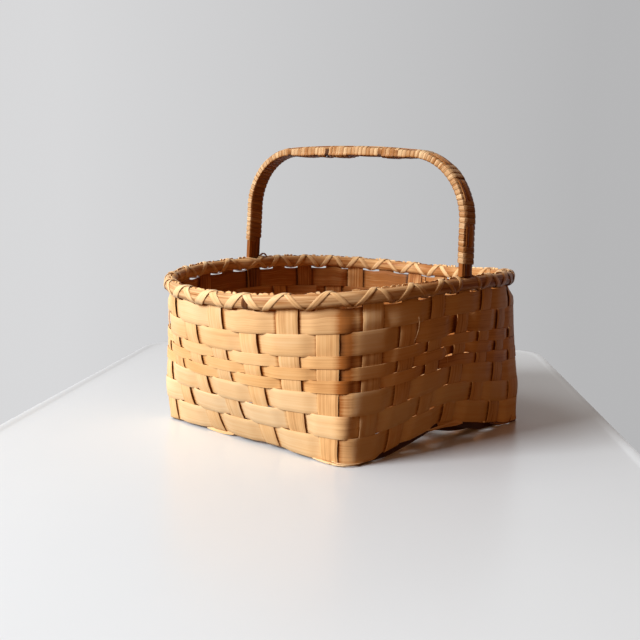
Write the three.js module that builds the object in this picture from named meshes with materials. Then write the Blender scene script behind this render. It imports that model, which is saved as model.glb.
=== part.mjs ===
import * as THREE from "three";

// Splint basket: fourteen stakes woven into a square base and turned up as the walls,
// eight weavers, a rim of two hoops lashed together, and a fixed bow handle.
// Millimetres, +Z up, standing on z = 0. The handle spans X.

// Splint stock
const splintThickness = 1.2;
const crossingClearance = 0.4;
const stakeWidth = 20;
const wideWeaver = 21.2;
const narrowWeaver = 11.1;
const rowGap = 0.9;
const levelRun = 0.8; // a weaver stays level this far past the edge of a stake
const lapStakes = 2; // a weaver or hoop laps its own start over this many stakes
const lapRun = 6; // and a weaver runs on this far past the last of them

// Base: stakes along X are spaced in Y, and the other way round
const stakesEachWay = 7;
const pitchAlongX = 41.5;
const pitchAlongY = 39.6;
const handleRoom = 5.4; // the stakes beside the handle stand this much further off
const middleStakeY = 10;
const slackFront = 10.3;
const slackBack = 4.5;
const baseBend = 4.5;
const baseCornerRadius = 16;
const ridgeHeight = 18;
const ridgeRoundShare = 0.1;
const sideArch = 5;
const footMargin = 1; // the corner feet stay level this far past their outermost stakes

// Rows from the bottom up
const rowWidths = [
  wideWeaver, wideWeaver, wideWeaver,
  narrowWeaver, narrowWeaver, narrowWeaver,
  wideWeaver, wideWeaver,
];

// Rim
const mouthFlareX = 20.3; // how far the walls lean out between base and mouth
const mouthFlareY = 34.2;
const rimRoundness = 2.64; // exponent of the superellipse: 2 is an ellipse
const rimSaddle = 5.8;
const rimRipple = 0.6;
const rimSlopeX = -0.0147;
const rimSlopeY = 0.032;
const frontCornerAngle = 44.5; // degrees from the X axis at which a base corner meets the rim
const backCornerAngle = 48.5;
const bellyShare = 0.7;
const hoopHeight = 13.2;
const outerHoopThickness = 6;
const innerHoopThickness = 5;
const fillerDepth = 2.4;
const fillerProud = 0.6;
const fillerThickness = 1.3;
const scarfTip = 0.5;
const hoopShoulderShares = [0.68, 0.1]; // where the round of a hoop begins: shares of thickness, height
const hoopCrownShare = 0.4; // share of the height at which it is at its thickest

// Lashing
const lashWidth = 4.6;
const lashThickness = 0.8;
const lashClearance = 0.3;
const lashCrossing = 1.8; // how much further out the first strand lies where they cross
const lashSlantRatio = 1.35; // length of a fold for each mm of the strand's width
const lashTurnShare = 0.03; // share of its way along the rim that a strand takes to turn an edge
const lashApexShare = 0.18; // beside a handle leg it goes over the rim this early
const lowCorner = { depth: 0.85, out: 0.6, up: -0.8 }; // where it folds under a hoop, and its look
const highCorner = { depth: 0.65, out: 0.5, up: 0.866 };

// Handle
const handleSpread = 3.6; // the bow stands out this far from its feet in the rim
const handleTopHeight = 302.7;
const handleShoulder = 68.5; // how far along X each shoulder reaches
const handleShoulderRise = 65;
const handleCrown = 2.3;
const handleSlope = -0.043;
const handleSway = 5; // how far the top leans back over its feet
const handleTwist = -3; // and how much further it does so towards the right
const bowWidth = 16;
const bowThickness = 5.4;
const notchThickness = 3;
const hookDepth = 1;
const tailThickness = 2.4;
const tailWidth = 13;
const tailTipWidth = 8;
const tailTipThickness = 1.44;
const tailLastRow = 4; // the tails are tucked down inside the middle stakes to this row
const wrapWidth = 8.3;
const wrapThickness = 0.9;
const wrapClearance = 0.5;
const wrapTurns = 16; // in each of the three lengths
const wrapStartAboveRim = 12;
const wrapJoint = 2.5;
const overlayWidth = 8;
const overlayThickness = 0.8;
const overlayAboveRim = 0.8; // its ends stand this far above the packing of the rim

// Derived sizes
const crossing = splintThickness + crossingClearance;
const halfSplint = splintThickness / 2;
const outermost = (stakesEachWay - 1) / 2;
const edgeRoom = stakeWidth / 2 + levelRun + baseBend;
const baseHalfX = outermost * pitchAlongX + edgeRoom;
const stakeReachX = outermost * pitchAlongX;
const stakeReachY = outermost * pitchAlongY + handleRoom;
const baseFront = middleStakeY - stakeReachY - edgeRoom - slackFront;
const baseBack = middleStakeY + stakeReachY + edgeRoom + slackBack;
const baseMiddleY = (baseFront + baseBack) / 2;
const baseHalfY = (baseBack - baseFront) / 2;
const rimHalfX = baseHalfX + mouthFlareX;
const rimHalfY = baseHalfY + mouthFlareY;
const baseLift = halfSplint + crossing / 2;
const footX = stakeReachX - stakeWidth / 2 - footMargin;
const footY = stakeReachY - Math.abs(middleStakeY - baseMiddleY) - stakeWidth / 2 - footMargin;
const rowsHeight = rowWidths.reduce((sum, width) => sum + width, 0) + rowGap * (rowWidths.length - 1);
const wallHeight = baseBend + rowsHeight;
const rimBottom = baseLift + wallHeight;
const stakeCount = 4 * stakesEachWay;
const hoopRise = lashThickness + 2 * lashClearance + lashCrossing;
const hoopTop = hoopRise + hoopHeight;
const fillerBottom = hoopTop - fillerDepth;
const stakeTop = fillerBottom - crossingClearance;
const hoopSeat = halfSplint + crossingClearance;
const handleStakes = [outermost, 2 * stakesEachWay + outermost];
const hoopBump = notchThickness + crossingClearance;
const handleHalfSpan = rimHalfX - hoopSeat - bowThickness / 2 + handleSpread;
const tuckOffset = crossing + crossingClearance + tailThickness;

const nearby = 0.5; // step between the two points that a direction is taken from
const nearbyShare = 0.01;

const splintColours = [0xd8ab72, 0xcf9d62, 0xdeb57f, 0xc89357, 0xd4a468];

// Half the length of one wall, measured round the base to the middle of a corner
function halfLength(face) {
  const straight = face % 2 === 0 ? baseHalfY : baseHalfX;
  return straight - baseCornerRadius * (1 - Math.PI / 4);
}

// Face 0 looks along +X, 1 along +Y, 2 along -X, 3 along -Y
function turnToFace(face, out, across) {
  const turns = [
    [out, across],
    [-across, out],
    [-out, -across],
    [across, -out],
  ];
  return turns[face];
}

// Point of the base outline, t mm round from the middle of a face
function baseOutline(face, t) {
  const out = face % 2 === 0 ? baseHalfX : baseHalfY;
  const reach = (face % 2 === 0 ? baseHalfY : baseHalfX) - baseCornerRadius;
  const turn = Math.max(0, Math.abs(t) - reach) / baseCornerRadius;
  const depth = out - baseCornerRadius * (1 - Math.cos(turn));
  const across = Math.sign(t) * (Math.min(Math.abs(t), reach) + baseCornerRadius * Math.sin(turn));
  const [x, y] = turnToFace(face, depth, across);
  return [x, y + baseMiddleY];
}

// Angles at which the corners of the base meet the rim, starting before face 0
const rimCorners = [
  -frontCornerAngle,
  backCornerAngle,
  180 - backCornerAngle,
  180 + frontCornerAngle,
  360 - frontCornerAngle,
];

// Point of the rim outline that the same stake reaches
function rimOutline(face, t) {
  const share = (t / halfLength(face) + 1) / 2;
  const angle = THREE.MathUtils.degToRad(THREE.MathUtils.lerp(rimCorners[face], rimCorners[face + 1], share));
  const cosine = Math.cos(angle);
  const sine = Math.sin(angle);
  const sum = Math.abs(cosine / rimHalfX) ** rimRoundness + Math.abs(sine / rimHalfY) ** rimRoundness;
  const radius = sum ** (-1 / rimRoundness);
  return [radius * cosine, radius * sine];
}

// The base is drawn up along a soft ridge and stands on its four corners
function archHeight(x, y) {
  const u = Math.min(1, Math.abs(y - baseMiddleY) / footY);
  const bow = (Math.hypot(u, ridgeRoundShare) - ridgeRoundShare) / (Math.hypot(1, ridgeRoundShare) - ridgeRoundShare);
  const side = Math.max(0, 1 - (x / footX) ** 2);
  return baseLift + ridgeHeight * (1 - bow) + sideArch * side;
}

// The rim dips over the front and back walls and rises at the handle
function rimHeight(x, y) {
  const angle = Math.atan2(y, x);
  const wave = rimSaddle * Math.cos(2 * angle) - rimRipple * Math.cos(4 * angle);
  return rimBottom + wave + rimSlopeX * x + rimSlopeY * y;
}

// Middle surface of the wall: v is 0 at the base edge and 1 under the rim
function wallMiddle(face, t, v) {
  const [baseX, baseY] = baseOutline(face, t);
  const [rimX, rimY] = rimOutline(face, t);
  const flare = v + bellyShare * v * (1 - v);
  const low = archHeight(baseX, baseY);
  const high = rimHeight(rimX, rimY);
  return new THREE.Vector3(
    baseX + (rimX - baseX) * flare,
    baseY + (rimY - baseY) * flare,
    low + (high - low) * v,
  );
}

function wallPoint(face, t, v, offset) {
  const along = wallMiddle(face, t + nearby, v).sub(wallMiddle(face, t - nearby, v));
  const up = wallMiddle(face, t, v + nearbyShare).sub(wallMiddle(face, t, v - nearbyShare));
  const outward = along.cross(up).normalize();
  return wallMiddle(face, t, v).addScaledVector(outward, offset);
}

// Above the wall the rim goes straight up
function rimPoint(face, t, rise, offset) {
  const along = wallMiddle(face, t + nearby, 1).sub(wallMiddle(face, t - nearby, 1));
  const outward = new THREE.Vector3(along.y, -along.x, 0).normalize();
  const point = wallMiddle(face, t, 1).addScaledVector(outward, offset);
  point.z += rise;
  return point;
}

function basePoint(x, y, offset) {
  const slopeX = (archHeight(x + nearby, y) - archHeight(x - nearby, y)) / (2 * nearby);
  const slopeY = (archHeight(x, y + nearby) - archHeight(x, y - nearby)) / (2 * nearby);
  const outward = new THREE.Vector3(slopeX, slopeY, -1).normalize();
  return new THREE.Vector3(x, y, archHeight(x, y)).addScaledVector(outward, offset);
}

// Distance round the walls, from the middle of face 0
function perimeterOf(face, t) {
  const starts = [0];
  for (let i = 0; i < 3; i += 1) {
    starts.push(starts[i] + halfLength(i) + halfLength(i + 1));
  }
  return starts[face] + t;
}

const fullPerimeter = 4 * (halfLength(0) + halfLength(1));

function atPerimeter(s) {
  const start = -halfLength(0);
  let rest = (((s - start) % fullPerimeter) + fullPerimeter) % fullPerimeter;
  let face = 0;
  while (rest > 2 * halfLength(face)) {
    rest -= 2 * halfLength(face);
    face += 1;
  }
  return { face, t: rest - halfLength(face) };
}

// A closed bar through rings of points; the caps join the two halves of each end ring
function barThrough(rings) {
  const size = rings[0].length;
  const positions = rings.flat().flatMap((point) => [point.x, point.y, point.z]);
  const triangles = [];
  for (let i = 0; i < rings.length - 1; i += 1) {
    for (let j = 0; j < size; j += 1) {
      const next = (j + 1) % size;
      const a = i * size + j;
      const b = i * size + next;
      triangles.push([a, b, b + size], [a, b + size, a + size]);
    }
  }
  const last = (rings.length - 1) * size;
  for (let j = 0; j < size / 2 - 1; j += 1) {
    const far = size - 1 - j;
    triangles.push([j, far - 1, j + 1], [j, far, far - 1]);
    triangles.push([last + j, last + j + 1, last + far - 1], [last + j, last + far - 1, last + far]);
  }
  const corner = (k) => new THREE.Vector3().fromArray(positions, 3 * k);
  let volume = 0;
  for (const [a, b, c] of triangles) {
    volume += corner(a).dot(corner(b).cross(corner(c)));
  }
  if (volume < 0) {
    triangles.forEach((triangle) => triangle.reverse());
  }
  const geometry = new THREE.BufferGeometry();
  geometry.setAttribute("position", new THREE.Float32BufferAttribute(positions, 3));
  geometry.setIndex(triangles.flat());
  geometry.computeVertexNormals();
  return geometry;
}

function namedMesh(name, geometry, colour, roughness = 0.75) {
  const material = new THREE.MeshStandardMaterial({ color: colour, roughness, metalness: 0 });
  const mesh = new THREE.Mesh(geometry, material);
  mesh.name = name;
  return mesh;
}

// Ring of a flat splint: its outer edge points in order, then its inner ones back
function splintRing(edges, pointAt, middleOffset) {
  const outer = edges.map((edge) => pointAt(edge, middleOffset + halfSplint));
  const inner = edges.map((edge) => pointAt(edge, middleOffset - halfSplint));
  return [...outer, ...inner.reverse()];
}

const rowEdges = rowWidths.map((width, row) => {
  const below = rowWidths.slice(0, row).reduce((sum, other) => sum + other + rowGap, baseBend);
  return { low: below / wallHeight, high: (below + width) / wallHeight };
});

// Where a stake's edge stands on a wall, from its place in the base
function acrossFace(face, place) {
  return [place - baseMiddleY, -place, baseMiddleY - place, place][face];
}

function stakePlace(alongX, index) {
  const fromMiddle = index - outermost;
  if (!alongX) {
    return fromMiddle * pitchAlongX;
  }
  return middleStakeY + fromMiddle * pitchAlongY + Math.sign(fromMiddle) * handleRoom;
}

// Rings from the rim down one wall to the end of the base bend
function wallRings(face, places) {
  const edges = places.map((place) => acrossFace(face, place));
  const rings = [splintRing(edges, (t, offset) => rimPoint(face, t, stakeTop, offset), 0)];
  rings.push(splintRing(edges, (t, offset) => wallPoint(face, t, 1, offset), 0));
  for (let row = rowEdges.length - 1; row > 0; row -= 1) {
    const v = (rowEdges[row].low + rowEdges[row - 1].high) / 2;
    rings.push(splintRing(edges, (t, offset) => wallPoint(face, t, v, offset), 0));
  }
  const bendTop = rowEdges[0].low;
  rings.push(splintRing(edges, (t, offset) => wallPoint(face, t, bendTop, offset), 0));
  rings.push(splintRing(places, (place, offset) => bendPoint(face, place, bendTop, offset), 0));
  rings.push(splintRing(places, (place, offset) => bendStart(face, place, offset), 0));
  return rings;
}

function bendStart(face, place, offset) {
  const inset = [baseHalfX - baseBend, baseBack - baseBend, baseBend - baseHalfX, baseFront + baseBend][face];
  return face % 2 === 0 ? basePoint(inset, place, offset) : basePoint(place, inset, offset);
}

function bendPoint(face, place, bendTop, offset) {
  const t = acrossFace(face, place);
  const [x, y] = baseOutline(face, t);
  const corner = new THREE.Vector3(x, y, archHeight(x, y));
  const from = bendStart(face, place, 0);
  const to = wallPoint(face, t, bendTop, 0);
  const down = bendStart(face, place, 1).sub(from);
  const out = wallPoint(face, t, bendTop, 1).sub(to);
  const middle = corner.multiplyScalar(0.5).addScaledVector(from, 0.25).addScaledVector(to, 0.25);
  return middle.addScaledVector(down.add(out).normalize(), offset);
}

// One stake: down a wall, across the base over and under the others, and up the far wall
function stakeGeometry(alongX, index) {
  const place = stakePlace(alongX, index);
  const half = stakeWidth / 2;
  const atCorner = index === 0 || index === stakesEachWay - 1;
  const places = atCorner ? [place - half, place, place + half] : [place - half, place + half];
  if (alongX) {
    places.reverse();
  }
  const [startFace, endFace] = alongX ? [2, 0] : [3, 1];
  const rings = wallRings(startFace, places);
  for (let other = 0; other < stakesEachWay; other += 1) {
    const above = (index + other) % 2 === (alongX ? 1 : 0);
    const middleOffset = above ? -crossing / 2 : crossing / 2;
    for (const side of [-1, 1]) {
      const along = stakePlace(!alongX, other) + side * (half + levelRun);
      const pointAt = (edge, offset) => (alongX ? basePoint(along, edge, offset) : basePoint(edge, along, offset));
      rings.push(splintRing(places, pointAt, middleOffset));
    }
  }
  return barThrough([...rings, ...wallRings(endFace, places).reverse()]);
}

// Where stake number i, counted round the walls, crosses them
function stakeCentre(i) {
  const face = Math.floor(i / stakesEachWay) % 4;
  const position = i % stakesEachWay;
  const alongX = face % 2 === 0;
  const index = face === 0 || face === 3 ? position : stakesEachWay - 1 - position;
  return perimeterOf(face, acrossFace(face, stakePlace(alongX, index)));
}

function isCornerStake(i) {
  const position = i % stakesEachWay;
  return position === 0 || position === stakesEachWay - 1;
}

// Stations on one stake, from its near edge to its far one
function stakeStations(i, nearRun, farRun) {
  const centre = stakeCentre(i % stakeCount) + fullPerimeter * Math.floor(i / stakeCount);
  const near = centre - stakeWidth / 2 - nearRun;
  const far = centre + stakeWidth / 2 + farRun;
  return isCornerStake(i % stakeCount) ? [near, centre, far] : [near, far];
}

function turnsCorner(i) {
  return i % stakesEachWay === stakesEachWay - 1;
}

// Each weaver goes round once and laps its own start over a few stakes
function weaverGeometry(row) {
  const first = row % 2 === 0 ? 2 * stakesEachWay + 1 : stakesEachWay + 1 + (row % 4);
  const { low, high } = rowEdges[row];
  const rings = [];
  const ringAt = (s, middleOffset) => {
    const { face, t } = atPerimeter(s);
    return splintRing([low, high], (v, offset) => wallPoint(face, t, v, offset), middleOffset);
  };
  for (let n = 0; n < stakeCount + lapStakes; n += 1) {
    const stake = first + n;
    const outside = (stake + row) % 2 === 0;
    const startLap = n < lapStakes;
    const endLap = n >= stakeCount;
    const tucked = handleStakes.includes(stake % stakeCount) && row >= tailLastRow;
    let middleOffset = outside ? crossing : -crossing;
    if (outside && endLap) {
      middleOffset += crossing;
    }
    if (!outside && startLap) {
      middleOffset -= crossing;
    }
    if (!outside && tucked) {
      middleOffset = -tuckOffset;
    }
    const nearRun = n === 0 || n === stakeCount ? lapRun : levelRun;
    const farRun = n === lapStakes - 1 || n === stakeCount + lapStakes - 1 ? lapRun : levelRun;
    const stations = stakeStations(stake, nearRun, farRun);
    stations.forEach((s) => rings.push(ringAt(s, middleOffset)));
    if (turnsCorner(stake)) {
      const next = stakeStations(stake + 1, levelRun, levelRun)[0];
      rings.push(ringAt((stations.at(-1) + next) / 2, 0));
    }
  }
  return barThrough(rings);
}

// Stations all round the rim, in step with the stakes
function rimStations(first, count) {
  const stations = [];
  for (let n = 0; n < count; n += 1) {
    const onStake = stakeStations(first + n, levelRun, levelRun);
    stations.push(...onStake);
    if (turnsCorner(first + n) && n < count - 1) {
      const next = stakeStations(first + n + 1, levelRun, levelRun)[0];
      stations.push((onStake.at(-1) + next) / 2);
    }
  }
  return stations;
}

// The inner hoop sits in the notch of each handle leg and so bows inwards there
function innerShift(s) {
  const level = stakeWidth / 2 + levelRun;
  const shifts = handleStakes.map((stake) => {
    const turns = Math.round((s - stakeCentre(stake)) / fullPerimeter);
    const away = Math.abs(s - stakeCentre(stake) - turns * fullPerimeter);
    const end = pitchAlongY + handleRoom - level;
    return hoopBump * THREE.MathUtils.clamp((end - away) / (end - level), 0, 1);
  });
  return Math.max(...shifts);
}

// Section of a half-round hoop as shares of its thickness and height, cut flat at a share of
// its thickness so that the other end of the hoop fits underneath
function hoopSection(cut) {
  const [shoulderOut, shoulderUp] = hoopShoulderShares;
  const [crownOut, crownUp] = [1, hoopCrownShare];
  const lowAt = (out) => (out < shoulderOut
    ? (shoulderUp * out) / shoulderOut
    : THREE.MathUtils.mapLinear(out, shoulderOut, crownOut, shoulderUp, crownUp));
  const between = cut + (1 - cut) * shoulderOut;
  const lower = [[cut, lowAt(cut)], [between, lowAt(between)], [crownOut, crownUp]];
  const upper = lower.map(([out, up]) => [out, 1 - up]);
  return [...lower, ...upper.reverse()];
}

// Half-round hoop with its flat against the stakes and its ends scarfed
function hoopGeometry(side, thickness, firstStake) {
  const stations = rimStations(firstStake, stakeCount + lapStakes);
  const scarfStart = stations[0];
  const scarfLength = stakeStations(firstStake + lapStakes - 1, levelRun, levelRun).at(-1) - scarfStart;
  const rings = stations.map((s) => {
    const { face, t } = atPerimeter(s);
    const seat = hoopSeat + (side < 0 ? innerShift(s) : 0);
    const taper = (u) => scarfTip + (thickness - crossingClearance - 2 * scarfTip) * u;
    const fromStart = s - scarfStart;
    const fromEnd = fromStart - fullPerimeter;
    const onTop = fromEnd > -lashClearance;
    const cut = onTop ? (taper(fromEnd / scarfLength) + crossingClearance) / thickness : 0;
    const depth = fromStart <= scarfLength ? taper(fromStart / scarfLength) : thickness;
    return hoopSection(cut).map(([out, up]) => (
      rimPoint(face, t, hoopRise + up * hoopHeight, side * (seat + out * depth))
    ));
  });
  return barThrough(rings);
}

// Narrow splint on edge in the slot between the hoops, over the cut ends of the stakes
function fillerGeometry(firstStake) {
  const stations = rimStations(firstStake, stakeCount);
  const half = fillerThickness / 2;
  const rings = stations.map((s) => {
    const { face, t } = atPerimeter(s);
    const low = fillerBottom;
    const high = hoopTop + fillerProud;
    return [[half, low], [half, high], [-half, high], [-half, low]].map(([offset, rise]) => (
      rimPoint(face, t, rise, offset)
    ));
  });
  return barThrough(rings);
}

// Flat strip along a path. It folds along lines of the given direction, and each point of
// the path says which way its face looks.
function stripAlong(path, foldLength, thickness) {
  return barThrough(path.map(({ point, outward, fold, miter = 1 }) => {
    const across = fold.clone().multiplyScalar(foldLength / 2);
    const lift = outward.clone().multiplyScalar((miter * thickness) / 2);
    return [
      point.clone().add(across).add(lift),
      point.clone().sub(across).add(lift),
      point.clone().sub(across).sub(lift),
      point.clone().add(across).sub(lift),
    ];
  }));
}

// Point beside the rim on the straight chords that the hoops follow between stations
const rimKnots = rimStations(0, stakeCount + 1);

function rimChord(s, rise, offset) {
  const wrapped = s - fullPerimeter * Math.floor((s - rimKnots[0]) / fullPerimeter);
  const after = rimKnots.findIndex((knot) => knot > wrapped);
  const [from, to] = [rimKnots[after - 1], rimKnots[after]];
  const [start, end] = [from, to].map((knot) => {
    const { face, t } = atPerimeter(knot);
    return rimPoint(face, t, rise, offset);
  });
  return start.lerp(end, (wrapped - from) / (to - from));
}

// The middle of the gap before stake number i + 1
function gapCentre(i) {
  const before = stakeStations(i, 0, 0).at(-1);
  const after = stakeStations(i + 1, 0, 0)[0];
  return (before + after) / 2;
}

// One lashing strand winds round both hoops once for every stake. The second winds the
// other way, inside the first wherever the two cross.
function lashingPath(firstGap, direction) {
  const skin = lashClearance + lashThickness / 2;
  const over = direction > 0 ? lashCrossing : 0;
  const under = hoopRise - skin - over;
  const top = hoopTop + fillerProud + skin + over;
  const middle = hoopRise + hoopHeight / 2;
  const cornerOf = (thickness, corner) => hoopSeat + thickness * corner.depth + over / 2;
  const bulgeOf = (thickness) => hoopSeat + thickness + 2 * skin;
  const path = [];
  for (let n = 0; n < stakeCount; n += 1) {
    const gap = direction > 0 ? firstGap + n : firstGap + stakeCount - 1 - n;
    const from = gapCentre(gap);
    const pitch = gapCentre(gap + 1) - from;
    const pastHandle = handleStakes.includes((gap + 1) % stakeCount);
    const apex = pastHandle ? lashApexShare : 1 / 2;
    const innerOver = pastHandle ? over : 0;
    const outerLow = cornerOf(outerHoopThickness, lowCorner);
    const outerHigh = cornerOf(outerHoopThickness, highCorner);
    const innerHigh = -cornerOf(innerHoopThickness, highCorner);
    const innerLow = -cornerOf(innerHoopThickness, lowCorner) - innerOver / 2;
    const innerBulge = -bulgeOf(innerHoopThickness) - innerOver;
    const corners = [
      { u: lashTurnShare, offset: outerLow, rise: under, look: [lowCorner.out, lowCorner.up] },
      { u: apex / 2, offset: bulgeOf(outerHoopThickness), rise: middle, look: [1, 0] },
      { u: apex - lashTurnShare, offset: outerHigh, rise: top, look: [highCorner.out, highCorner.up] },
      { u: apex + lashTurnShare, offset: innerHigh, rise: top, look: [-highCorner.out, highCorner.up] },
      { u: (apex + 1) / 2, offset: innerBulge, rise: middle, look: [-1, 0] },
      { u: 1 - lashTurnShare, offset: innerLow, rise: under, look: [-lowCorner.out, lowCorner.up] },
    ];
    for (const { u, offset, rise, look } of corners) {
      const s = from + pitch * (direction > 0 ? u : 1 - u);
      const pointAt = (place) => rimChord(place, rise, offset < 0 ? offset - innerShift(place) : offset);
      const point = pointAt(s);
      const fold = pointAt(s + nearby).sub(pointAt(s - nearby)).normalize();
      const sideways = new THREE.Vector3(fold.y, -fold.x, 0).multiplyScalar(look[0]);
      path.push({ point, fold, outward: sideways.setZ(look[1]) });
    }
  }
  return path;
}

// The bow stands over the middle stakes, leaning back a little towards the left
const handleY = wallMiddle(0, acrossFace(0, middleStakeY), 1).y;

function bowFoot(side) {
  return rimHeight(side * rimHalfX, handleY) + hoopTop + wrapStartAboveRim;
}

// Half of the bow's middle line, from its foot to the middle of the top: x and height
function halfBow(side) {
  const topHeight = handleTopHeight - bowThickness / 2;
  const shoulderHeight = topHeight - handleCrown - handleShoulderRise;
  const straight = handleHalfSpan - handleShoulder;
  const foot = bowFoot(side);
  const legSteps = 6;
  const arcSteps = 12;
  const topSteps = 4;
  const half = [];
  for (let i = 0; i < legSteps; i += 1) {
    half.push({ x: handleHalfSpan, height: THREE.MathUtils.lerp(foot, shoulderHeight, i / legSteps), angle: 0 });
  }
  for (let i = 0; i <= arcSteps; i += 1) {
    const turn = (Math.PI / 2) * (i / arcSteps);
    const out = handleShoulder * Math.cos(turn);
    const up = handleShoulderRise * Math.sin(turn);
    const angle = Math.atan2(up * handleShoulder ** 2, out * handleShoulderRise ** 2);
    half.push({ x: straight + out, height: shoulderHeight + up, angle });
  }
  for (let i = 1; i <= topSteps; i += 1) {
    const x = straight * (1 - i / topSteps);
    const rise = handleCrown * (1 - (x / straight) ** 2);
    half.push({ x, height: topHeight - handleCrown + rise, angle: Math.PI / 2 });
  }
  return half.map(({ x, height, angle }) => {
    const lean = THREE.MathUtils.clamp((height - foot) / (shoulderHeight - foot), 0, 1);
    const back = THREE.MathUtils.clamp((height - foot) / (topHeight - foot), 0, 1);
    const sway = handleSway + (handleTwist * side * x) / handleHalfSpan;
    return {
      middle: new THREE.Vector3(side * x, sway * back, height + handleSlope * side * x * lean),
      outward: new THREE.Vector3(side * Math.cos(angle), 0, Math.sin(angle)),
    };
  });
}

function bowLine() {
  return [...halfBow(1), ...halfBow(-1).reverse().slice(1)];
}

function bowRing(middle, outward, width, thickness) {
  const side = new THREE.Vector3(0, width / 2, 0);
  const lift = outward.clone().multiplyScalar(thickness / 2);
  return [
    middle.clone().add(side).add(lift),
    middle.clone().sub(side).add(lift),
    middle.clone().sub(side).sub(lift),
    middle.clone().add(side).sub(lift),
  ];
}

// Middle of a leg of this thickness that lies against the hoop's seat, and the way out of it
function legPlace(at, thickness) {
  const outer = at(hoopSeat);
  const inner = at(hoopSeat + thickness);
  const middle = outer.clone().add(inner).multiplyScalar(0.5);
  middle.y = 0;
  const outward = outer.sub(inner).setComponent(1, 0).normalize();
  return { middle, outward };
}

// A leg below its straight stretch: hooked under the inner hoop, then the thin tail
function legRings(face, stake) {
  const { t } = atPerimeter(stakeCentre(stake));
  const rowMiddle = (row) => (rowEdges[row].low + rowEdges[row].high) / 2;
  const sections = [
    { v: rowMiddle(tailLastRow - 1), width: tailTipWidth, thickness: tailTipThickness },
    { v: rowEdges[tailLastRow].low, width: tailWidth, thickness: tailThickness },
    { v: rowEdges[tailLastRow + 1].low, width: tailWidth, thickness: tailThickness },
    { v: rowEdges[tailLastRow + 2].low, width: tailWidth, thickness: tailThickness },
    { v: rowEdges[tailLastRow + 2].high, width: tailWidth, thickness: tailThickness },
    { v: 1, width: bowWidth, thickness: notchThickness + hookDepth },
    { rise: hoopRise - 2 * lashClearance, width: bowWidth, thickness: notchThickness + hookDepth },
    { rise: hoopRise - lashClearance, width: bowWidth, thickness: notchThickness },
    { rise: hoopTop + lashClearance, width: bowWidth, thickness: notchThickness },
    { rise: hoopTop + fillerProud + crossingClearance, width: bowWidth, thickness: bowThickness },
  ];
  return sections.map(({ v, rise, width, thickness }) => {
    const at = (offset) => (v === undefined ? rimPoint(face, t, rise, -offset) : wallPoint(face, t, v, -offset));
    const { middle, outward } = legPlace(at, thickness);
    return bowRing(middle, outward, width, thickness);
  });
}

function bowGeometry() {
  const rings = bowLine().map(({ middle, outward }) => bowRing(middle, outward, bowWidth, bowThickness));
  return barThrough([
    ...legRings(0, handleStakes[0]),
    ...rings,
    ...legRings(2, handleStakes[1]).reverse(),
  ]);
}

// Place on the bow at a distance along its middle line
function alongBow(line, distance) {
  let rest = distance;
  for (let i = 0; i < line.length - 1; i += 1) {
    const length = line[i].middle.distanceTo(line[i + 1].middle);
    if (rest <= length || i === line.length - 2) {
      const share = rest / length;
      const middle = line[i].middle.clone().lerp(line[i + 1].middle, share);
      const outward = line[i].outward.clone().lerp(line[i + 1].outward, share).normalize();
      return { middle, outward };
    }
    rest -= length;
  }
  return line.at(-1);
}

function bowLength(line) {
  let length = 0;
  for (let i = 0; i < line.length - 1; i += 1) {
    length += line[i].middle.distanceTo(line[i + 1].middle);
  }
  return length;
}

// One length of the wrap: a flat strip wound round bow and overlay, edge beside edge
function wrapPath(line, from, to) {
  const above = bowThickness / 2 + overlayThickness + 2 * wrapClearance + wrapThickness / 2;
  const below = bowThickness / 2 + wrapClearance + wrapThickness / 2;
  const beside = bowWidth / 2 + wrapClearance + wrapThickness / 2;
  const corners = [
    { side: beside, lift: above, share: 0 },
    { side: -beside, lift: above, share: 0.38 },
    { side: -beside, lift: -below, share: 0.5 },
    { side: beside, lift: -below, share: 0.88 },
  ];
  const pitch = (to - from - wrapWidth) / wrapTurns;
  const path = [];
  for (let turn = 0; turn < wrapTurns; turn += 1) {
    for (const { side, lift, share } of corners) {
      const { middle, outward } = alongBow(line, from + wrapWidth / 2 + (turn + share) * pitch);
      const across = new THREE.Vector3(0, Math.sign(side), 0);
      const point = middle.clone().addScaledVector(outward, lift);
      point.y += side;
      const look = across.addScaledVector(outward, Math.sign(lift)).normalize();
      const fold = new THREE.Vector3(outward.z, 0, -outward.x);
      path.push({ point, fold, outward: look, miter: Math.SQRT2 });
    }
  }
  return path;
}

// Least gap between neighbouring turns, measured between their centre points
function leastTurnGap(path, pointsPerTurn, width) {
  let least = Infinity;
  for (let i = 0; i + pointsPerTurn < path.length; i += 1) {
    least = Math.min(least, path[i].point.distanceTo(path[i + pointsPerTurn].point) - width);
  }
  return least;
}

// Narrow splint laid along the outer face of the bow, from rim to rim under the wrap
function overlayGeometry(line) {
  const lift = bowThickness / 2 + wrapClearance / 2 + overlayThickness / 2;
  const rise = hoopTop + fillerProud + overlayAboveRim;
  const [start, end] = [[0, handleStakes[0]], [2, handleStakes[1]]].map(([face, stake]) => {
    const { t } = atPerimeter(stakeCentre(stake));
    return legPlace((offset) => rimPoint(face, t, rise, -offset), bowThickness);
  });
  return barThrough([start, ...line, end].map(({ middle, outward }) => (
    bowRing(middle.clone().addScaledVector(outward, lift), outward, overlayWidth, overlayThickness)
  )));
}

function buildStakes() {
  const group = new THREE.Group();
  for (const alongX of [true, false]) {
    for (let index = 0; index < stakesEachWay; index += 1) {
      const name = `stake_${alongX ? "x" : "y"}${index + 1}`;
      const colour = splintColours[(index * 2 + (alongX ? 0 : 1)) % splintColours.length];
      group.add(namedMesh(name, stakeGeometry(alongX, index), colour));
    }
  }
  return group;
}

function buildWeavers() {
  const group = new THREE.Group();
  rowWidths.forEach((width, row) => {
    const colour = splintColours[(row + 2) % splintColours.length];
    group.add(namedMesh(`weaver_row${row + 1}`, weaverGeometry(row), colour));
  });
  return group;
}

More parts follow.
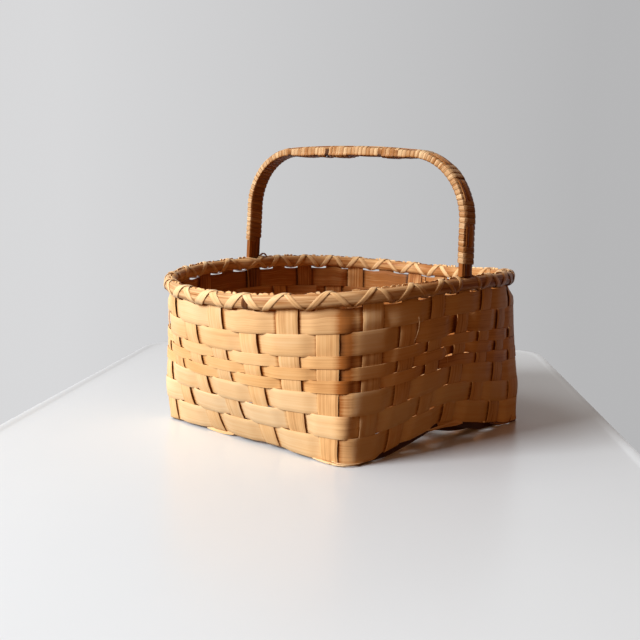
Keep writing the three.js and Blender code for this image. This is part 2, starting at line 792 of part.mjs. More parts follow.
function buildRim() {
  const group = new THREE.Group();
  const backStake = stakesEachWay + 1;
  const backGap = 2 * stakesEachWay - 1;
  group.add(namedMesh("rim_hoop_outer", hoopGeometry(1, outerHoopThickness, backStake), 0xd9ae78, 0.6));
  group.add(namedMesh("rim_hoop_inner", hoopGeometry(-1, innerHoopThickness, backStake + 3), 0xcfa067, 0.6));
  group.add(namedMesh("rim_filler", fillerGeometry(backStake), 0xb98752));
  const strands = { rim_lashing_a: 1, rim_lashing_b: -1 };
  for (const [name, direction] of Object.entries(strands)) {
    const path = lashingPath(backGap, direction);
    const foldLength = lashWidth * lashSlantRatio;
    group.add(namedMesh(name, stripAlong(path, foldLength, lashThickness), 0xdcb883, 0.6));
    console.log(`${name}: least gap between turns ${leastTurnGap(path, 6, foldLength).toFixed(2)} mm`);
  }
  return group;
}

function buildHandle() {
  const group = new THREE.Group();
  group.position.y = handleY;
  const line = bowLine();
  const length = bowLength(line);
  group.add(namedMesh("handle_bow", bowGeometry(), 0xb07c48, 0.65));
  group.add(namedMesh("handle_overlay", overlayGeometry(line), 0x9a6a3c));
  const lengths = ["handle_wrap_right", "handle_wrap_top", "handle_wrap_left"];
  const span = length / lengths.length;
  lengths.forEach((name, i) => {
    const path = wrapPath(line, i * span + wrapJoint / 2, (i + 1) * span - wrapJoint / 2);
    group.add(namedMesh(name, stripAlong(path, wrapWidth, wrapThickness), 0xdab480, 0.6));
    console.log(`${name}: least gap between turns ${leastTurnGap(path, 4, wrapWidth).toFixed(2)} mm`);
  });
  return group;
}

const basket = new THREE.Group();
basket.add(buildStakes(), buildWeavers(), buildRim(), buildHandle());

export default basket;
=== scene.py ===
import math
import random
from bisect import bisect
from itertools import accumulate, cycle

import bmesh
import bpy
from mathutils import Matrix, Vector, noise


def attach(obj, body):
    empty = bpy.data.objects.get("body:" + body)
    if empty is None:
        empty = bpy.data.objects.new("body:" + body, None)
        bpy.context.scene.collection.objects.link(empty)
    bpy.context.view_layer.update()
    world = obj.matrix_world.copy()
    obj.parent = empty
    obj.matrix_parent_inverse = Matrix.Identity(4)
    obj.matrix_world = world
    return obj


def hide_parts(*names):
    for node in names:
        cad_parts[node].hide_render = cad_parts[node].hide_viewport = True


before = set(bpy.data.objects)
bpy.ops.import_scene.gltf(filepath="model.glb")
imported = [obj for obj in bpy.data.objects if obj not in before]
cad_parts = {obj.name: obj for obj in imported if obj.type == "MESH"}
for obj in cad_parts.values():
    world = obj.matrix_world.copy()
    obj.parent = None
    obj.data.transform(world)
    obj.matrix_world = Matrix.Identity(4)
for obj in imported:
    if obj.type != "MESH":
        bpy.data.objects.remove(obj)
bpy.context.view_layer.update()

chance = random.Random(41)
print("frame loaded,", len(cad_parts), "nodes")

# sizes are in metres, and nearly all are the ones that the solids were built with
weave = {
    "thickness": 0.0012,
    "clearance": 0.0004,
    "stakeWidth": 0.020,
    "wideRow": 0.0212,
    "narrowRow": 0.0111,
    "rowGap": 0.0009,
    "rowOrder": "WWWNNNWW",    # from the bottom up, W wide and N narrow
    "stakesEachWay": 7,
    "levelRun": 0.0008,
    "pitchAlongX": 0.0415,
    "pitchAlongY": 0.0396,
    "handleRoom": 0.0054,      # extra room beside the handle's stakes
    "middleStakeY": 0.010,
    "slackFront": 0.0103,
    "slackBack": 0.0045,
    "bend": 0.0045,
    "cornerRadius": 0.016,
    "ridgeHeight": 0.018,
    "ridgeRounding": 0.1,
    "sideArch": 0.0018,        # flatter than in the solids
    "footMargin": 0.001,
    "belly": 0.7,
    "cornerFullness": 0.0072,  # how far the corners of the walls bulge halfway up
    "fullPower": 5,            # how closely the bulge keeps to the corners
    "fullFrom": (0, 0.3),      # start and run of its growth up the wall, and of its end
    "fullTo": (1, -0.10),
    "lastStakeLean": 0.0060,   # how far the front wall's last stake stands back from the near corner
}
rim = {
    "halfX": 0.1601,
    "halfY": 0.1811,
    "roundness": 2.64,
    "saddle": 0.0058,
    "ripple": -0.0006,
    "slopeX": -0.0147,
    "slopeY": 0.032,
    "frontCorner": 44.5,       # degrees from X where a base corner meets the rim
    "backCorner": 48.5,
    "hoopRise": 0.0032,
    "hoopHeight": 0.0132,
    "outerThickness": 0.006,
    "innerThickness": 0.005,
    "seat": 0.0010,            # from the middle of a stake to the flat of a hoop
    "legRoom": 0.0034,         # how far the inner hoop bows in at a handle leg
    "squareness": 2.6,         # of the round that both hoops share
    "scarfTip": 0.0005,
    "scarfGap": 0.0003,
}
nudge, nudgeUp = 0.0005, 0.01   # half the steps over which slopes are measured

crossing = weave["thickness"] + weave["clearance"]
halfSplint = weave["thickness"] / 2
halfStake = weave["stakeWidth"] / 2
perFace = weave["stakesEachWay"]
outermost = (perFace - 1) // 2
stakeCount = 4 * perFace
handleStakes = [outermost, 2 * perFace + outermost]
edgeRoom = halfStake + weave["levelRun"] + weave["bend"]
stakeReachX = outermost * weave["pitchAlongX"]
stakeReachY = outermost * weave["pitchAlongY"] + weave["handleRoom"]
baseHalfX = stakeReachX + edgeRoom
baseFront = weave["middleStakeY"] - stakeReachY - edgeRoom - weave["slackFront"]
baseBack = weave["middleStakeY"] + stakeReachY + edgeRoom + weave["slackBack"]
baseMiddleY = (baseFront + baseBack) / 2
baseHalfY = (baseBack - baseFront) / 2
baseLift = halfSplint + crossing / 2
footX = stakeReachX - halfStake - weave["footMargin"]
footY = stakeReachY - abs(weave["middleStakeY"] - baseMiddleY) - halfStake - weave["footMargin"]
rowWidths = [weave["wideRow"] if kind == "W" else weave["narrowRow"] for kind in weave["rowOrder"]]
wallHeight = weave["bend"] + sum(rowWidths) + weave["rowGap"] * (len(rowWidths) - 1)
bendShare = weave["bend"] / wallHeight
rimBottom = baseLift + wallHeight
hoopTop = rim["hoopRise"] + rim["hoopHeight"]
rimCorners = [-rim["frontCorner"], rim["backCorner"], 180 - rim["backCorner"],
              180 + rim["frontCorner"], 360 - rim["frontCorner"]]
# where the stakes leave the base for each wall
bendStarts = [baseHalfX - weave["bend"], baseBack - weave["bend"],
              weave["bend"] - baseHalfX, baseFront + weave["bend"]]


def mix(a, b, share):
    return a + (b - a) * share


def clamp(x, low=0.0, high=1.0):
    return min(high, max(low, x))


def smooth(x):
    x = clamp(x)
    return x * x * (3 - 2 * x)


def ease(x, start, run):        # from 0 at start to 1 a run further on; a negative run goes backwards
    return smooth((x - start) / run)


def curved(start, corner, end, u):      # a place on a curve that bends round a corner
    return start * (1 - u) ** 2 + corner * 2 * u * (1 - u) + end * u ** 2


def hump(share, power, trim=0.0):       # up and down again over a stretch; trim leaves out its low ends
    return math.sin(math.pi * (trim + (1 - 2 * trim) * share)) ** power


def wander(a, b=0.0, c=0.0):    # soft noise between about -1 and 1; b and c set pieces apart
    return noise.noise(Vector((a + 0.37, b + 0.71, c + 0.13)))


def lengthsAlong(points, start=0.0):    # how far along a line each of its points lies
    steps = ((there - here).length for here, there in zip(points, points[1:]))
    return list(accumulate(steps, initial=start))


def evenly(step, count):
    return [step * k for k in range(count)]


def stretchOf(lengths, distance):       # number of the stretch that a distance falls in, and its share
    i = min(len(lengths) - 2, max(0, bisect(lengths, distance) - 1))
    return i, (distance - lengths[i]) / (lengths[i + 1] - lengths[i])


def halfLength(face):
    straight = baseHalfY if face % 2 == 0 else baseHalfX
    return straight - weave["cornerRadius"] * (1 - math.pi / 4)


# face 0 looks along +X, 1 along +Y, 2 along -X and 3 along -Y
def turnToFace(face, out, across):
    return [(out, across), (-across, out), (-out, -across), (across, -out)][face]


def baseOutline(face, t):
    radius = weave["cornerRadius"]
    out, reach = (baseHalfX, baseHalfY) if face % 2 == 0 else (baseHalfY, baseHalfX)
    reach -= radius
    turn = max(0.0, abs(t) - reach) / radius
    depth = out - radius * (1 - math.cos(turn))
    across = math.copysign(min(abs(t), reach) + radius * math.sin(turn), t)
    x, y = turnToFace(face, depth, across)
    return x, y + baseMiddleY


def rimOutline(face, t):
    share = (t / halfLength(face) + 1) / 2
    angle = math.radians(mix(rimCorners[face], rimCorners[face + 1], share))
    c, s, n = math.cos(angle), math.sin(angle), rim["roundness"]
    radius = (abs(c / rim["halfX"]) ** n + abs(s / rim["halfY"]) ** n) ** (-1 / n)
    return radius * c, radius * s


def archHeight(x, y):
    soft = weave["ridgeRounding"]
    u = min(1.0, abs(y - baseMiddleY) / footY)
    fall = (math.hypot(u, soft) - soft) / (math.hypot(1, soft) - soft)
    side = max(0.0, 1 - (x / footX) ** 2)
    return baseLift + weave["ridgeHeight"] * (1 - fall) + weave["sideArch"] * side


def rimHeight(x, y):
    angle = math.atan2(y, x)
    wave = rim["saddle"] * math.cos(2 * angle) + rim["ripple"] * math.cos(4 * angle)
    return rimBottom + wave + rim["slopeX"] * x + rim["slopeY"] * y


def wallMiddle(face, t, v):     # v is 0 at the base and 1 under the rim
    baseX, baseY = baseOutline(face, t)
    rimX, rimY = rimOutline(face, t)
    flare = v + weave["belly"] * v * (1 - v)
    low, high = archHeight(baseX, baseY), rimHeight(rimX, rimY)
    x, y = mix(baseX, rimX, flare), mix(baseY, rimY, flare)
    full = weave["cornerFullness"] * min(1.0, abs(t) / halfLength(face)) ** weave["fullPower"]
    full *= ease(v, *weave["fullFrom"]) * ease(v, *weave["fullTo"]) / math.hypot(x, y)
    return Vector((x * (1 + full), y * (1 + full), mix(low, high, v)))


def wallAlong(face, t, v):
    return wallMiddle(face, t + nudge, v) - wallMiddle(face, t - nudge, v)


def wallFrame(face, t, v):      # a point of the wall and the way out of it
    up = wallMiddle(face, t, v + nudgeUp) - wallMiddle(face, t, v - nudgeUp)
    return wallMiddle(face, t, v), wallAlong(face, t, v).cross(up).normalized()


def rimFrame(face, t, rise):    # above the wall the rim goes straight up
    along = wallAlong(face, t, 1)
    return wallMiddle(face, t, 1) + Vector((0, 0, rise)), Vector((along.y, -along.x, 0)).normalized()


def baseFrame(alongX, along, across):
    x, y = (along, across) if alongX else (across, along)
    slopeX = (archHeight(x + nudge, y) - archHeight(x - nudge, y)) / (2 * nudge)
    slopeY = (archHeight(x, y + nudge) - archHeight(x, y - nudge)) / (2 * nudge)
    return Vector((x, y, archHeight(x, y))), Vector((slopeX, slopeY, -1)).normalized()


faceStarts = [0.0]
for face in range(3):
    faceStarts.append(faceStarts[face] + halfLength(face) + halfLength(face + 1))
fullRound = 4 * (halfLength(0) + halfLength(1))


def atRound(s):                 # distance round the walls to face and place on it
    rest = (s + halfLength(0)) % fullRound
    face = 0
    while rest > 2 * halfLength(face):
        rest -= 2 * halfLength(face)
        face += 1
    return face, rest - halfLength(face)


def acrossFace(face, place):
    return [place - baseMiddleY, -place, baseMiddleY - place, place][face]


def stakePlace(alongX, index):
    steps = index - outermost
    if not alongX:
        return steps * weave["pitchAlongX"]
    room = math.copysign(weave["handleRoom"], steps) if steps else 0.0
    return weave["middleStakeY"] + steps * weave["pitchAlongY"] + room


def leanOf(face, index):
    return weave["lastStakeLean"] if face == 3 and index == perFace - 1 else 0.0


def stakeNumber(face, index):   # its place in the count of stakes round the walls
    return face * perFace + (index if face in (0, 3) else perFace - 1 - index)


def stakeCentre(i):             # where stake i of that count crosses the walls
    turns, i = divmod(i, stakeCount)
    face, position = divmod(i, perFace)
    index = position if face in (0, 3) else perFace - 1 - position
    place = stakePlace(face % 2 == 0, index) - leanOf(face, index)
    return faceStarts[face] + acrossFace(face, place) + turns * fullRound


stakeCentres = {i: stakeCentre(i) for i in range(-2, 2 * stakeCount)}

rowSpans = []
for r, width in enumerate(rowWidths):
    below = weave["bend"] + sum(rowWidths[:r]) + r * weave["rowGap"]
    rowSpans.append((below / wallHeight, (below + width) / wallHeight))
rowMiddles = [(low + high) / 2 for low, high in rowSpans]


def passing(row, stake):        # 1 where a weaver passes over a stake, and -1 where it passes behind
    return 1 if (stake + row) % 2 == 0 else -1


def levelled(wave, gap):        # a wave that stays level over and behind the stakes
    return clamp(wave / math.cos(math.pi * halfStake / gap), -1.0, 1.0)


# a closed bar through rings of points, with each point's place along and across the grain
def barFromRings(rings, alongs, acrosses, tints, closed=False, innerTints=None):
    size, count = len(rings[0]), len(rings)
    sides = [side for pair in zip(tints, innerTints or tints) for side in pair]
    faces = []
    for i in range(count if closed else count - 1):
        j = (i + 1) % count
        for k in range(size):
            m = (k + 1) % size
            faces.append((i * size + k, i * size + m, j * size + m, j * size + k))
    if not closed:
        last = (count - 1) * size
        for k in range(size // 2 - 1):
            far = size - 1 - k
            faces.append((k, far, far - 1, k + 1))
            faces.append((last + k, last + k + 1, last + far - 1, last + far))
    return {"points": [point for ring in rings for point in ring], "faces": faces,
            "grain": [(a, b) for a in alongs for b in acrosses],
            "tint": [tint for tint in sides for _ in range(size // 2)]}


def makePiece(name, bars, material, nodes=(), sharp=40):
    points, faces, grain, tint = [], [], [], []
    for bar in bars:
        start = len(points)
        points += [tuple(point) for point in bar["points"]]
        faces += [tuple(start + k for k in face) for face in bar["faces"]]
        grain += bar["grain"]
        tint += bar["tint"]
    mesh = bpy.data.meshes.new(name)
    mesh.from_pydata(points, [], faces)
    layer = mesh.uv_layers.new(name="grain")
    for loop in mesh.loops:
        layer.data[loop.index].uv = grain[loop.vertex_index]
    mesh.attributes.new("tint", "FLOAT", "POINT").data.foreach_set("value", tint)
    work = bmesh.new()
    work.from_mesh(mesh)
    bmesh.ops.recalc_face_normals(work, faces=work.faces)
    work.to_mesh(mesh)
    work.free()
    mesh.shade_smooth()
    mesh.set_sharp_from_angle(angle=math.radians(sharp))
    mesh.materials.append(material)
    piece = bpy.data.objects.new(name, mesh)
    bpy.context.scene.collection.objects.link(piece)
    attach(piece, "root")
    if nodes:
        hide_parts(*nodes)


# a strip's section, given as shares of its half width with how thick it is there
def bothHalves(half):
    return [(-share, fullness) for share, fullness in half[::-1] if share] + half


splintSection = bothHalves([(0.2, 0.82), (0.6, 0.8), (0.96, 0.7), (1, 0.3)])
lashSection = bothHalves([(0, 1), (0.4, 0.95), (0.8, 0.72), (1, 0.25)])
wrapSection = bothHalves([(0, 1), (0.45, 0.97), (0.85, 0.78), (1, 0.35)])
paintedInnerShade = -0.45             # painted shade: how much darker the inner side of a splint is painted, for the shade inside the basket
underEdge = 0.4                 # least share of its thickness that a strip's under side keeps at the edges


def acrossOf(section, halfWidth):       # places across the grain, over a strip and back under it
    row = [share * halfWidth for share, fullness in section]
    return row + row[::-1]


def splintRing(frameAt, offset):        # frameAt gives a point and the way out for a share of the width
    outer, inner = [], []
    for share, fullness in splintSection:
        point, normal = frameAt(share)
        outer.append(point + normal * (offset + halfSplint * fullness))
        inner.append(point + normal * (offset - halfSplint * fullness))
    return outer + inner[::-1]


def ringMiddles(rings):
    return [sum(ring, Vector()) / len(ring) for ring in rings]


# the grain starts at a chance place, so that it never lines up with its neighbour's
def splintBar(rings, halfWidth, tints, innerTints=None):
    alongs = lengthsAlong(ringMiddles(rings), chance.uniform(0, 3))
    inner = innerTints or [tint + paintedInnerShade for tint in tints]
    return barFromRings(rings, alongs, acrossOf(splintSection, halfWidth), tints, innerTints=inner)


def directionAt(points, i, closed=False):       # of a line, at one of its points
    before, after = max(i - 1, 0), min(i + 1, len(points) - 1)
    if closed:
        before, after = i - 1, (i + 1) % len(points)
    return (points[after] - points[before]).normalized()


def stripRing(point, outward, along, width, thickness, section):
    across = outward.cross(along).normalized()
    outward = along.cross(across).normalized()
    top = [point + across * (share * width / 2) + outward * (thickness * (fullness - 0.5))
           for share, fullness in section]
    bottom = [point + across * (share * width / 2) - outward * (thickness * 0.5 * mix(underEdge, 1, fullness))
              for share, fullness in section]
    return top + bottom[::-1]


def stripRings(path, thickness, section, closed=False):     # path gives middle, way out and width
    middles = [middle for middle, outward, width in path]
    return [stripRing(middle, outward, directionAt(middles, i, closed), width, thickness, section)
            for i, (middle, outward, width) in enumerate(path)]


# painted light and shade: wood is painted paler towards the window's side and darker away from it, darker
# round the near corner and on the front wall beside it where the walls turn into shade, and paler low on the
# right side where light thrown up from the table falls
# x + y grows from left to right as the camera sees it
# each From, To and Rise is the start and run of a change
paintedLightLook = {
    "front": 0.05,
    "slope": 0.35,
    "nearSide": 0.20,          # x - y from which wood belongs to the near corner
    "corner": (-0.26, -0.56),  # painted shade of the near corner, at the foot and higher up
    "cornerRise": (0.02, 0.06),
    "cornerFrom": (-0.022, 0.020),
    "cornerTo": (0.018, -0.017),
    "beside": -0.15,           # painted shade on the front wall beside it
    "besideFrom": (-0.085, 0.05),
    "besideTo": (0.02, -0.03),
    "rightSide": 0.1,
    "foot": 0.30,              # how much paler the right side is painted near its foot, for light thrown up from the table
    "footFrom": (0.006, 0.012),
    "footTo": (0.18, -0.12),
    "footRise": (0.09, -0.06),
}


# painted light: paler towards the window's side, darker away from it
def paintedSideLight(point):
    return -paintedLightLook["slope"] * (point.x + point.y)


# painted light and shade at a point of the basket
def paintedLightAndShade(point):
    x, y, z = point
    across, look = x + y, paintedLightLook
    tint = look["front"] + paintedSideLight(point)
    if x - y > look["nearSide"]:
        wearAndShade = ease(across, *look["cornerFrom"]) * ease(across, *look["cornerTo"])
        tint += mix(*look["corner"], ease(z, *look["cornerRise"])) * wearAndShade
        tint += look["beside"] * ease(across, *look["besideFrom"]) * ease(across, *look["besideTo"])
    if x > look["rightSide"]:
        paler = ease(across, *look["footFrom"]) * ease(across, *look["footTo"])
        tint += look["foot"] * paler * ease(z, *look["footRise"])
    return tint


woodLook = {
    "light": (0.90, 0.68, 0.405),      # new splint
    "middle": (0.79, 0.495, 0.230),
    "dark": (0.36, 0.130, 0.030),      # old, handled wood
    # near black that the lowest levels blend towards: dark old wood, and painted shade in gaps, slots and
    # under the walls
    "grimeAndShade": (0.060, 0.020, 0.006),
    "warming": (0.04, -0.12, -0.35),   # of red, green and blue, with a warmth of 1
    "levels": (0.0, 0.45, 0.95),       # at which the dark, middle and light colours stand
    "weights": (0.9, 1.1, 0.9),        # of fibres, streaks and patches
    "grimeAndShadeRun": -1.6,
    "fibre": (0.045, 0.00042),         # length and width
    "streak": (0.16, 0.0022),
    "patch": (0.05, 0.015),
    "bumpHeight": 0.00012,
    "bumpStrength": 0.6,
    "roughness": (-0.25, 0.12),        # how it falls on fibres, and what a wood's dullness is added to
    "sheen": 0.12,
}


def addNode(tree, kind, inputs=(), **settings):
    node = tree.nodes.new(kind)
    for key, value in settings.items():
        setattr(node, key, value)
    for key, value in dict(inputs).items():
        if isinstance(value, bpy.types.NodeSocket):
            tree.links.new(value, node.inputs[key])
        else:
            node.inputs[key].default_value = value
    return node


def doMath(tree, operation, a, b=0.0, c=0.0, limited=False):
    inputs = {0: a, 1: b, 2: c}
    return addNode(tree, "ShaderNodeMath", inputs, operation=operation, use_clamp=limited).outputs[0]


def blend(tree, share, a, b):   # of two colours, each a socket or red, green and blue
    a, b = [colour if isinstance(colour, bpy.types.NodeSocket) else (*colour, 1) for colour in (a, b)]
    return addNode(tree, "ShaderNodeMix", {"Factor": share, 6: a, 7: b}, data_type="RGBA").outputs[2]


def newMaterial(name):
    material = bpy.data.materials.new(name)
    material.use_nodes = True
    return material, material.node_tree, material.node_tree.nodes["Principled BSDF"]


def stretchedNoise(tree, grain, length, width, seed, detail=3.0):
    size = addNode(tree, "ShaderNodeMapping", {"Vector": grain, "Location": (seed, seed * 0.7, seed * 0.3),
                                               "Scale": (1 / length, 1 / width, 1.0)})
    return addNode(tree, "ShaderNodeTexNoise", {"Vector": size.outputs[0], "Scale": 1.0, "Detail": detail,
                                                "Roughness": 0.6}).outputs["Fac"]


def warmed(colour, warmth):     # warmth above 0 turns a colour towards orange, below it towards grey
    return (*[tone * (1 + change * warmth) for tone, change in zip(colour, woodLook["warming"])], 1)


# fibre widens the grain and straight lengthens it
def woodMaterial(name, age=0.0, warmth=0.0, contrast=1.0, dullness=0.5, fibre=1.0, straight=1.0):
    look, seed = woodLook, chance.uniform(0, 50)
    material, tree, shader = newMaterial(name)
    grain = addNode(tree, "ShaderNodeUVMap", uv_map="grain").outputs[0]
    fine, streak = [stretchedNoise(tree, grain, length * straight, width * fibre, seed + shift)
                    for (length, width), shift in ((look["fibre"], 0), (look["streak"], 7))]
    patch = stretchedNoise(tree, grain, *look["patch"], seed + 13, 2.0)
    # 1 is pale and 0 dark; a stronger contrast spreads the patterns about the same middle
    # the tint carries random mottle together with painted light and shade
    tint = addNode(tree, "ShaderNodeAttribute", attribute_name="tint").outputs["Fac"]
    level = doMath(tree, "ADD", tint, 0.5 - contrast * sum(look["weights"]) / 2 - age)
    for pattern, weight in zip((fine, streak, patch), look["weights"]):
        level = doMath(tree, "MULTIPLY_ADD", pattern, weight * contrast, level)
    ramp = addNode(tree, "ShaderNodeValToRGB", {"Fac": level})
    stops = ramp.color_ramp.elements
    stops.new(look["levels"][1])
    for stop, place, colour in zip(stops, look["levels"], ("dark", "middle", "light")):
        stop.position, stop.color = place, warmed(look[colour], warmth)
    # the lowest levels blend towards near black, as dark old wood and as painted shade
    grimeAndShade = doMath(tree, "MULTIPLY", level, look["grimeAndShadeRun"], limited=True)
    tree.links.new(blend(tree, grimeAndShade, ramp.outputs[0], look["grimeAndShade"]), shader.inputs["Base Color"])
    fall, start = look["roughness"]
    tree.links.new(doMath(tree, "MULTIPLY_ADD", fine, fall, start + dullness), shader.inputs["Roughness"])
    height = doMath(tree, "MULTIPLY_ADD", streak, 0.8, fine)
    bump = addNode(tree, "ShaderNodeBump", {"Height": height, "Strength": look["bumpStrength"],
                                            "Distance": look["bumpHeight"]})
    tree.links.new(bump.outputs[0], shader.inputs["Normal"])
    shader.inputs["Specular IOR Level"].default_value = look["sheen"]
    return material


# stakes, each down one wall, across the base and up the other
stakeLook = {
    "wallStep": 0.004,
    "bendSteps": 6,
    "baseStep": 0.0035,
    "ripple": 0.0006,          # how far the weavers push a stake in and out
    "baseReach": 0.0008,
    "waver": 0.0003,           # of the edges
    "trim": 0.0026,            # from the hoops' top down to the stakes' ends, and how unevenly
    "ragged": 0.0004,
    "endRings": (1, 0.66, 0.33),
    "leanRun": 0.06,           # of the base, over which the leaning stake comes back to its place
    "mottle": 0.22,
    "ages": [0.02, 0.10, -0.04, 0.06, -0.02, 0.12, 0.0],
    "ageAlongY": 0.03,
    "warmths": (0.0, 0.5),
    "wood": {"contrast": 0.75, "straight": 3.0, "fibre": 0.85},
}


def rowPush(stake, v):          # 1 where a weaver passes over the stake, and -1 where it passes behind
    if v >= rowMiddles[-1]:
        return passing(len(rowMiddles) - 1, stake)
    if v <= rowMiddles[0]:
        return passing(0, stake) * smooth(v / rowMiddles[0])
    row, share = stretchOf(rowMiddles, v)
    return passing(row, stake) * math.cos(math.pi * share)


def baseWeave(alongX, index, along):    # 1 where a stake lies below another in the base, and -1 above it
    places = [stakePlace(not alongX, other) for other in range(perFace)]
    signs = [-1 if (index + other) % 2 == (1 if alongX else 0) else 1 for other in range(perFace)]
    if along <= places[0] or along >= places[-1]:
        nearest = 0 if along <= places[0] else perFace - 1
        past = abs(along - places[nearest]) - halfStake
        return signs[nearest] * (1 - smooth(past / (weave["levelRun"] + weave["slackBack"])))
    other = bisect(places, along) - 1
    gap = places[other + 1] - places[other]
    return signs[other] * levelled(math.cos(math.pi * (along - places[other]) / gap), gap)


def bendFrames(face, place):    # from the base up into the wall
    start, down = baseFrame(face % 2 == 0, bendStarts[face], place)
    t = acrossFace(face, place)
    end, out = wallFrame(face, t, bendShare)
    x, y = baseOutline(face, t)
    corner = Vector((x, y, archHeight(x, y)))
    frames = []
    for k in range(stakeLook["bendSteps"] + 1):
        u = k / stakeLook["bendSteps"]
        frames.append((curved(start, corner, end, u), down.lerp(out, u).normalized()))
    return frames


def stakeBar(alongX, index):
    look, place = stakeLook, stakePlace(alongX, index)
    startFace, endFace = (2, 0) if alongX else (3, 1)
    seed = index + (20 if alongX else 50)

    def edgePlace(share, where):
        return place + share * (halfStake + look["waver"] * wander(where * 30, seed, share))

    def leaned(face, share, v):
        return edgePlace(share, v) - leanOf(face, index)

    def wallRings(face):        # from the rim down to the base
        top = hoopTop - look["trim"] + look["ragged"] * wander(seed, face)
        count = int((1 - bendShare) * wallHeight / look["wallStep"])
        rings = []
        for part in look["endRings"]:
            rings.append(splintRing(
                lambda share: rimFrame(face, acrossFace(face, leaned(face, share, 1)), top * part), 0.0))
        for k in range(count):
            v = mix(1, bendShare, k / count)
            push = -look["ripple"] * rowPush(stakeNumber(face, index), v) if k else 0.0
            rings.append(splintRing(
                lambda share: wallFrame(face, acrossFace(face, leaned(face, share, v)), v), push))
        columns = {share: bendFrames(face, leaned(face, share, 0)) for share, fullness in splintSection}
        for k in range(look["bendSteps"], -1, -1):
            rings.append(splintRing(lambda share: columns[share][k], 0.0))
        return rings

    rings = wallRings(startFace)
    begin, end = bendStarts[startFace], bendStarts[endFace]
    count = int((end - begin) / look["baseStep"])
    for k in range(1, count):
        along = mix(begin, end, k / count)
        lean = leanOf(startFace, index) * smooth(1 - (along - begin) / look["leanRun"])
        offset = look["baseReach"] * baseWeave(alongX, index, along)
        rings.append(splintRing(lambda share: baseFrame(alongX, along, edgePlace(share, 0) - lean), offset))
    rings += wallRings(endFace)[::-1]
    tints = [look["mottle"] * wander(k * 0.09, seed * 1.3, 4) + paintedLightAndShade(ring[0])
             for k, ring in enumerate(rings)]
    return splintBar(rings, halfStake, tints)


for alongX in (True, False):
    for index in range(perFace):
        name = f"stake_{'x' if alongX else 'y'}{index + 1}"
        age = stakeLook["ages"][index] + (0 if alongX else stakeLook["ageAlongY"])
        warmth = chance.uniform(*stakeLook["warmths"])
        material = woodMaterial(f"{name}_splint", age, warmth, **stakeLook["wood"])
        makePiece(f"splint_{name}", [stakeBar(alongX, index)], material, [name])
print("stakes woven")

# weavers, each once round the walls and a little over its own start
weaverLook = {
    "step": 0.0034,
    "outside": 0.0010,         # off the wall's middle where it passes over a stake
    "inside": (0.0018, 0.0015),    # and where it passes behind one, on the X and Y walls
    "uneven": 0.9,
    "bumps": 0.00015,
    "tight": 0.00075,          # each edge comes this much nearer to the next row
    "waver": 0.00030,
    "dustAndShade": 0.6,               # painted shade: darker where it dives behind a stake, on either side of the wall
    "slotShadeRun": 0.03,
    "mottle": 0.24,
    "lapStakes": 2,
    "lapRun": 0.006,
    "lapEase": 0.009,
    "tailRow": 4,              # lowest row, counted from 0, that goes round the handle's tails
    "tailRise": 0.0041,
    "bottomRun": 0.0030,       # how far the lowest row hangs over the bend
    "underHoop": 0.0021,
    "ages": [-0.12, -0.17, -0.11, 0.07, 0.06, 0.05, 0.06, 0.06],
    "warmths": [0.3, 0.1, 0.25, 0.7, 0.6, 0.5, 0.2, 0.1],
    "wood": {"contrast": 0.5, "straight": 1.5, "fibre": 0.8},
}


def weaverReach(row, stake):    # how far off the wall's middle a weaver passes a stake
    look, number = weaverLook, stake % stakeCount
    if passing(row, stake) > 0:
        return look["outside"]
    if number in handleStakes and row >= look["tailRow"]:
        return -look["tailRise"]
    uneven = look["uneven"] * wander(number * 1.7, row * 2.3)
    return -look["inside"][number // perFace % 2] * (1 + uneven)


def weaverBar(row):
    look, (low, high) = weaverLook, rowSpans[row]
    first = 2 * perFace + 1 if row % 2 == 0 else perFace + 1 + row % 4     # all start on the far walls
    begin = stakeCentres[first] - halfStake - look["lapRun"]
    lapEnd = stakeCentres[first + look["lapStakes"] - 1] + halfStake + look["lapRun"]
    end = lapEnd + fullRound
    count = int((end - begin) / look["step"])
    rings, tints, innerTints, stake = [], [], [], first - 1
    for k in range(count + 1):
        s = mix(begin, end, k / count)
        while s >= stakeCentres[stake + 1]:
            stake += 1
        gap = stakeCentres[stake + 1] - stakeCentres[stake]
        wave = math.cos(math.pi * (s - stakeCentres[stake]) / gap)
        swing = passing(row, stake) * wave
        turned = math.sin(math.pi / 2 * levelled(wave, gap))
        offset = mix(weaverReach(row, stake + 1), weaverReach(row, stake), (1 + turned) / 2)
        # where it laps, its start lies nearer the inside and its end nearer the outside
        if s < lapEnd + look["lapEase"]:
            offset -= crossing / 2 * (1 - swing) * ease(s, lapEnd + look["lapEase"], -look["lapEase"])
        if s > begin + fullRound - look["lapEase"]:
            offset += crossing / 2 * (1 + swing) * smooth((s - begin - fullRound) / look["lapEase"] + 1)
        offset += look["bumps"] * wander(s * 25, row)
        bottom = low * wallHeight - look["tight"] + look["waver"] * wander(s * 30, row, 1)
        top = high * wallHeight + look["tight"] + look["waver"] * wander(s * 30, row, 5)
        if row == 0:
            bottom -= look["bottomRun"]
        if row == len(rowSpans) - 1:
            top += look["underHoop"] * wave ** 4
        face, t = atRound(s)
        rings.append(splintRing(
            lambda share: wallFrame(face, t, mix(bottom, top, (share + 1) / 2) / wallHeight), offset))
        tint = look["mottle"] * wander(s * 12, row * 3.1, 9) + paintedLightAndShade(rings[-1][0])
        out = (1 + passing(row, stake) * turned) / 2
        # painted shade where the weaver dives behind a stake, on its outer and inner sides
        tints.append(tint - look["dustAndShade"] * smooth(1 - out / look["slotShadeRun"]))
        innerTints.append(tint + paintedInnerShade - look["dustAndShade"] * smooth(1 - (1 - out) / look["slotShadeRun"]))
    return splintBar(rings, (high - low) * wallHeight / 2, tints, innerTints)


for row, (age, warmth) in enumerate(zip(weaverLook["ages"], weaverLook["warmths"])):
    name = f"weaver_row{row + 1}"
    material = woodMaterial(f"{name}_splint", age, warmth, **weaverLook["wood"])
    makePiece(f"splint_{name}", [weaverBar(row)], material, [name])
print("weavers woven")

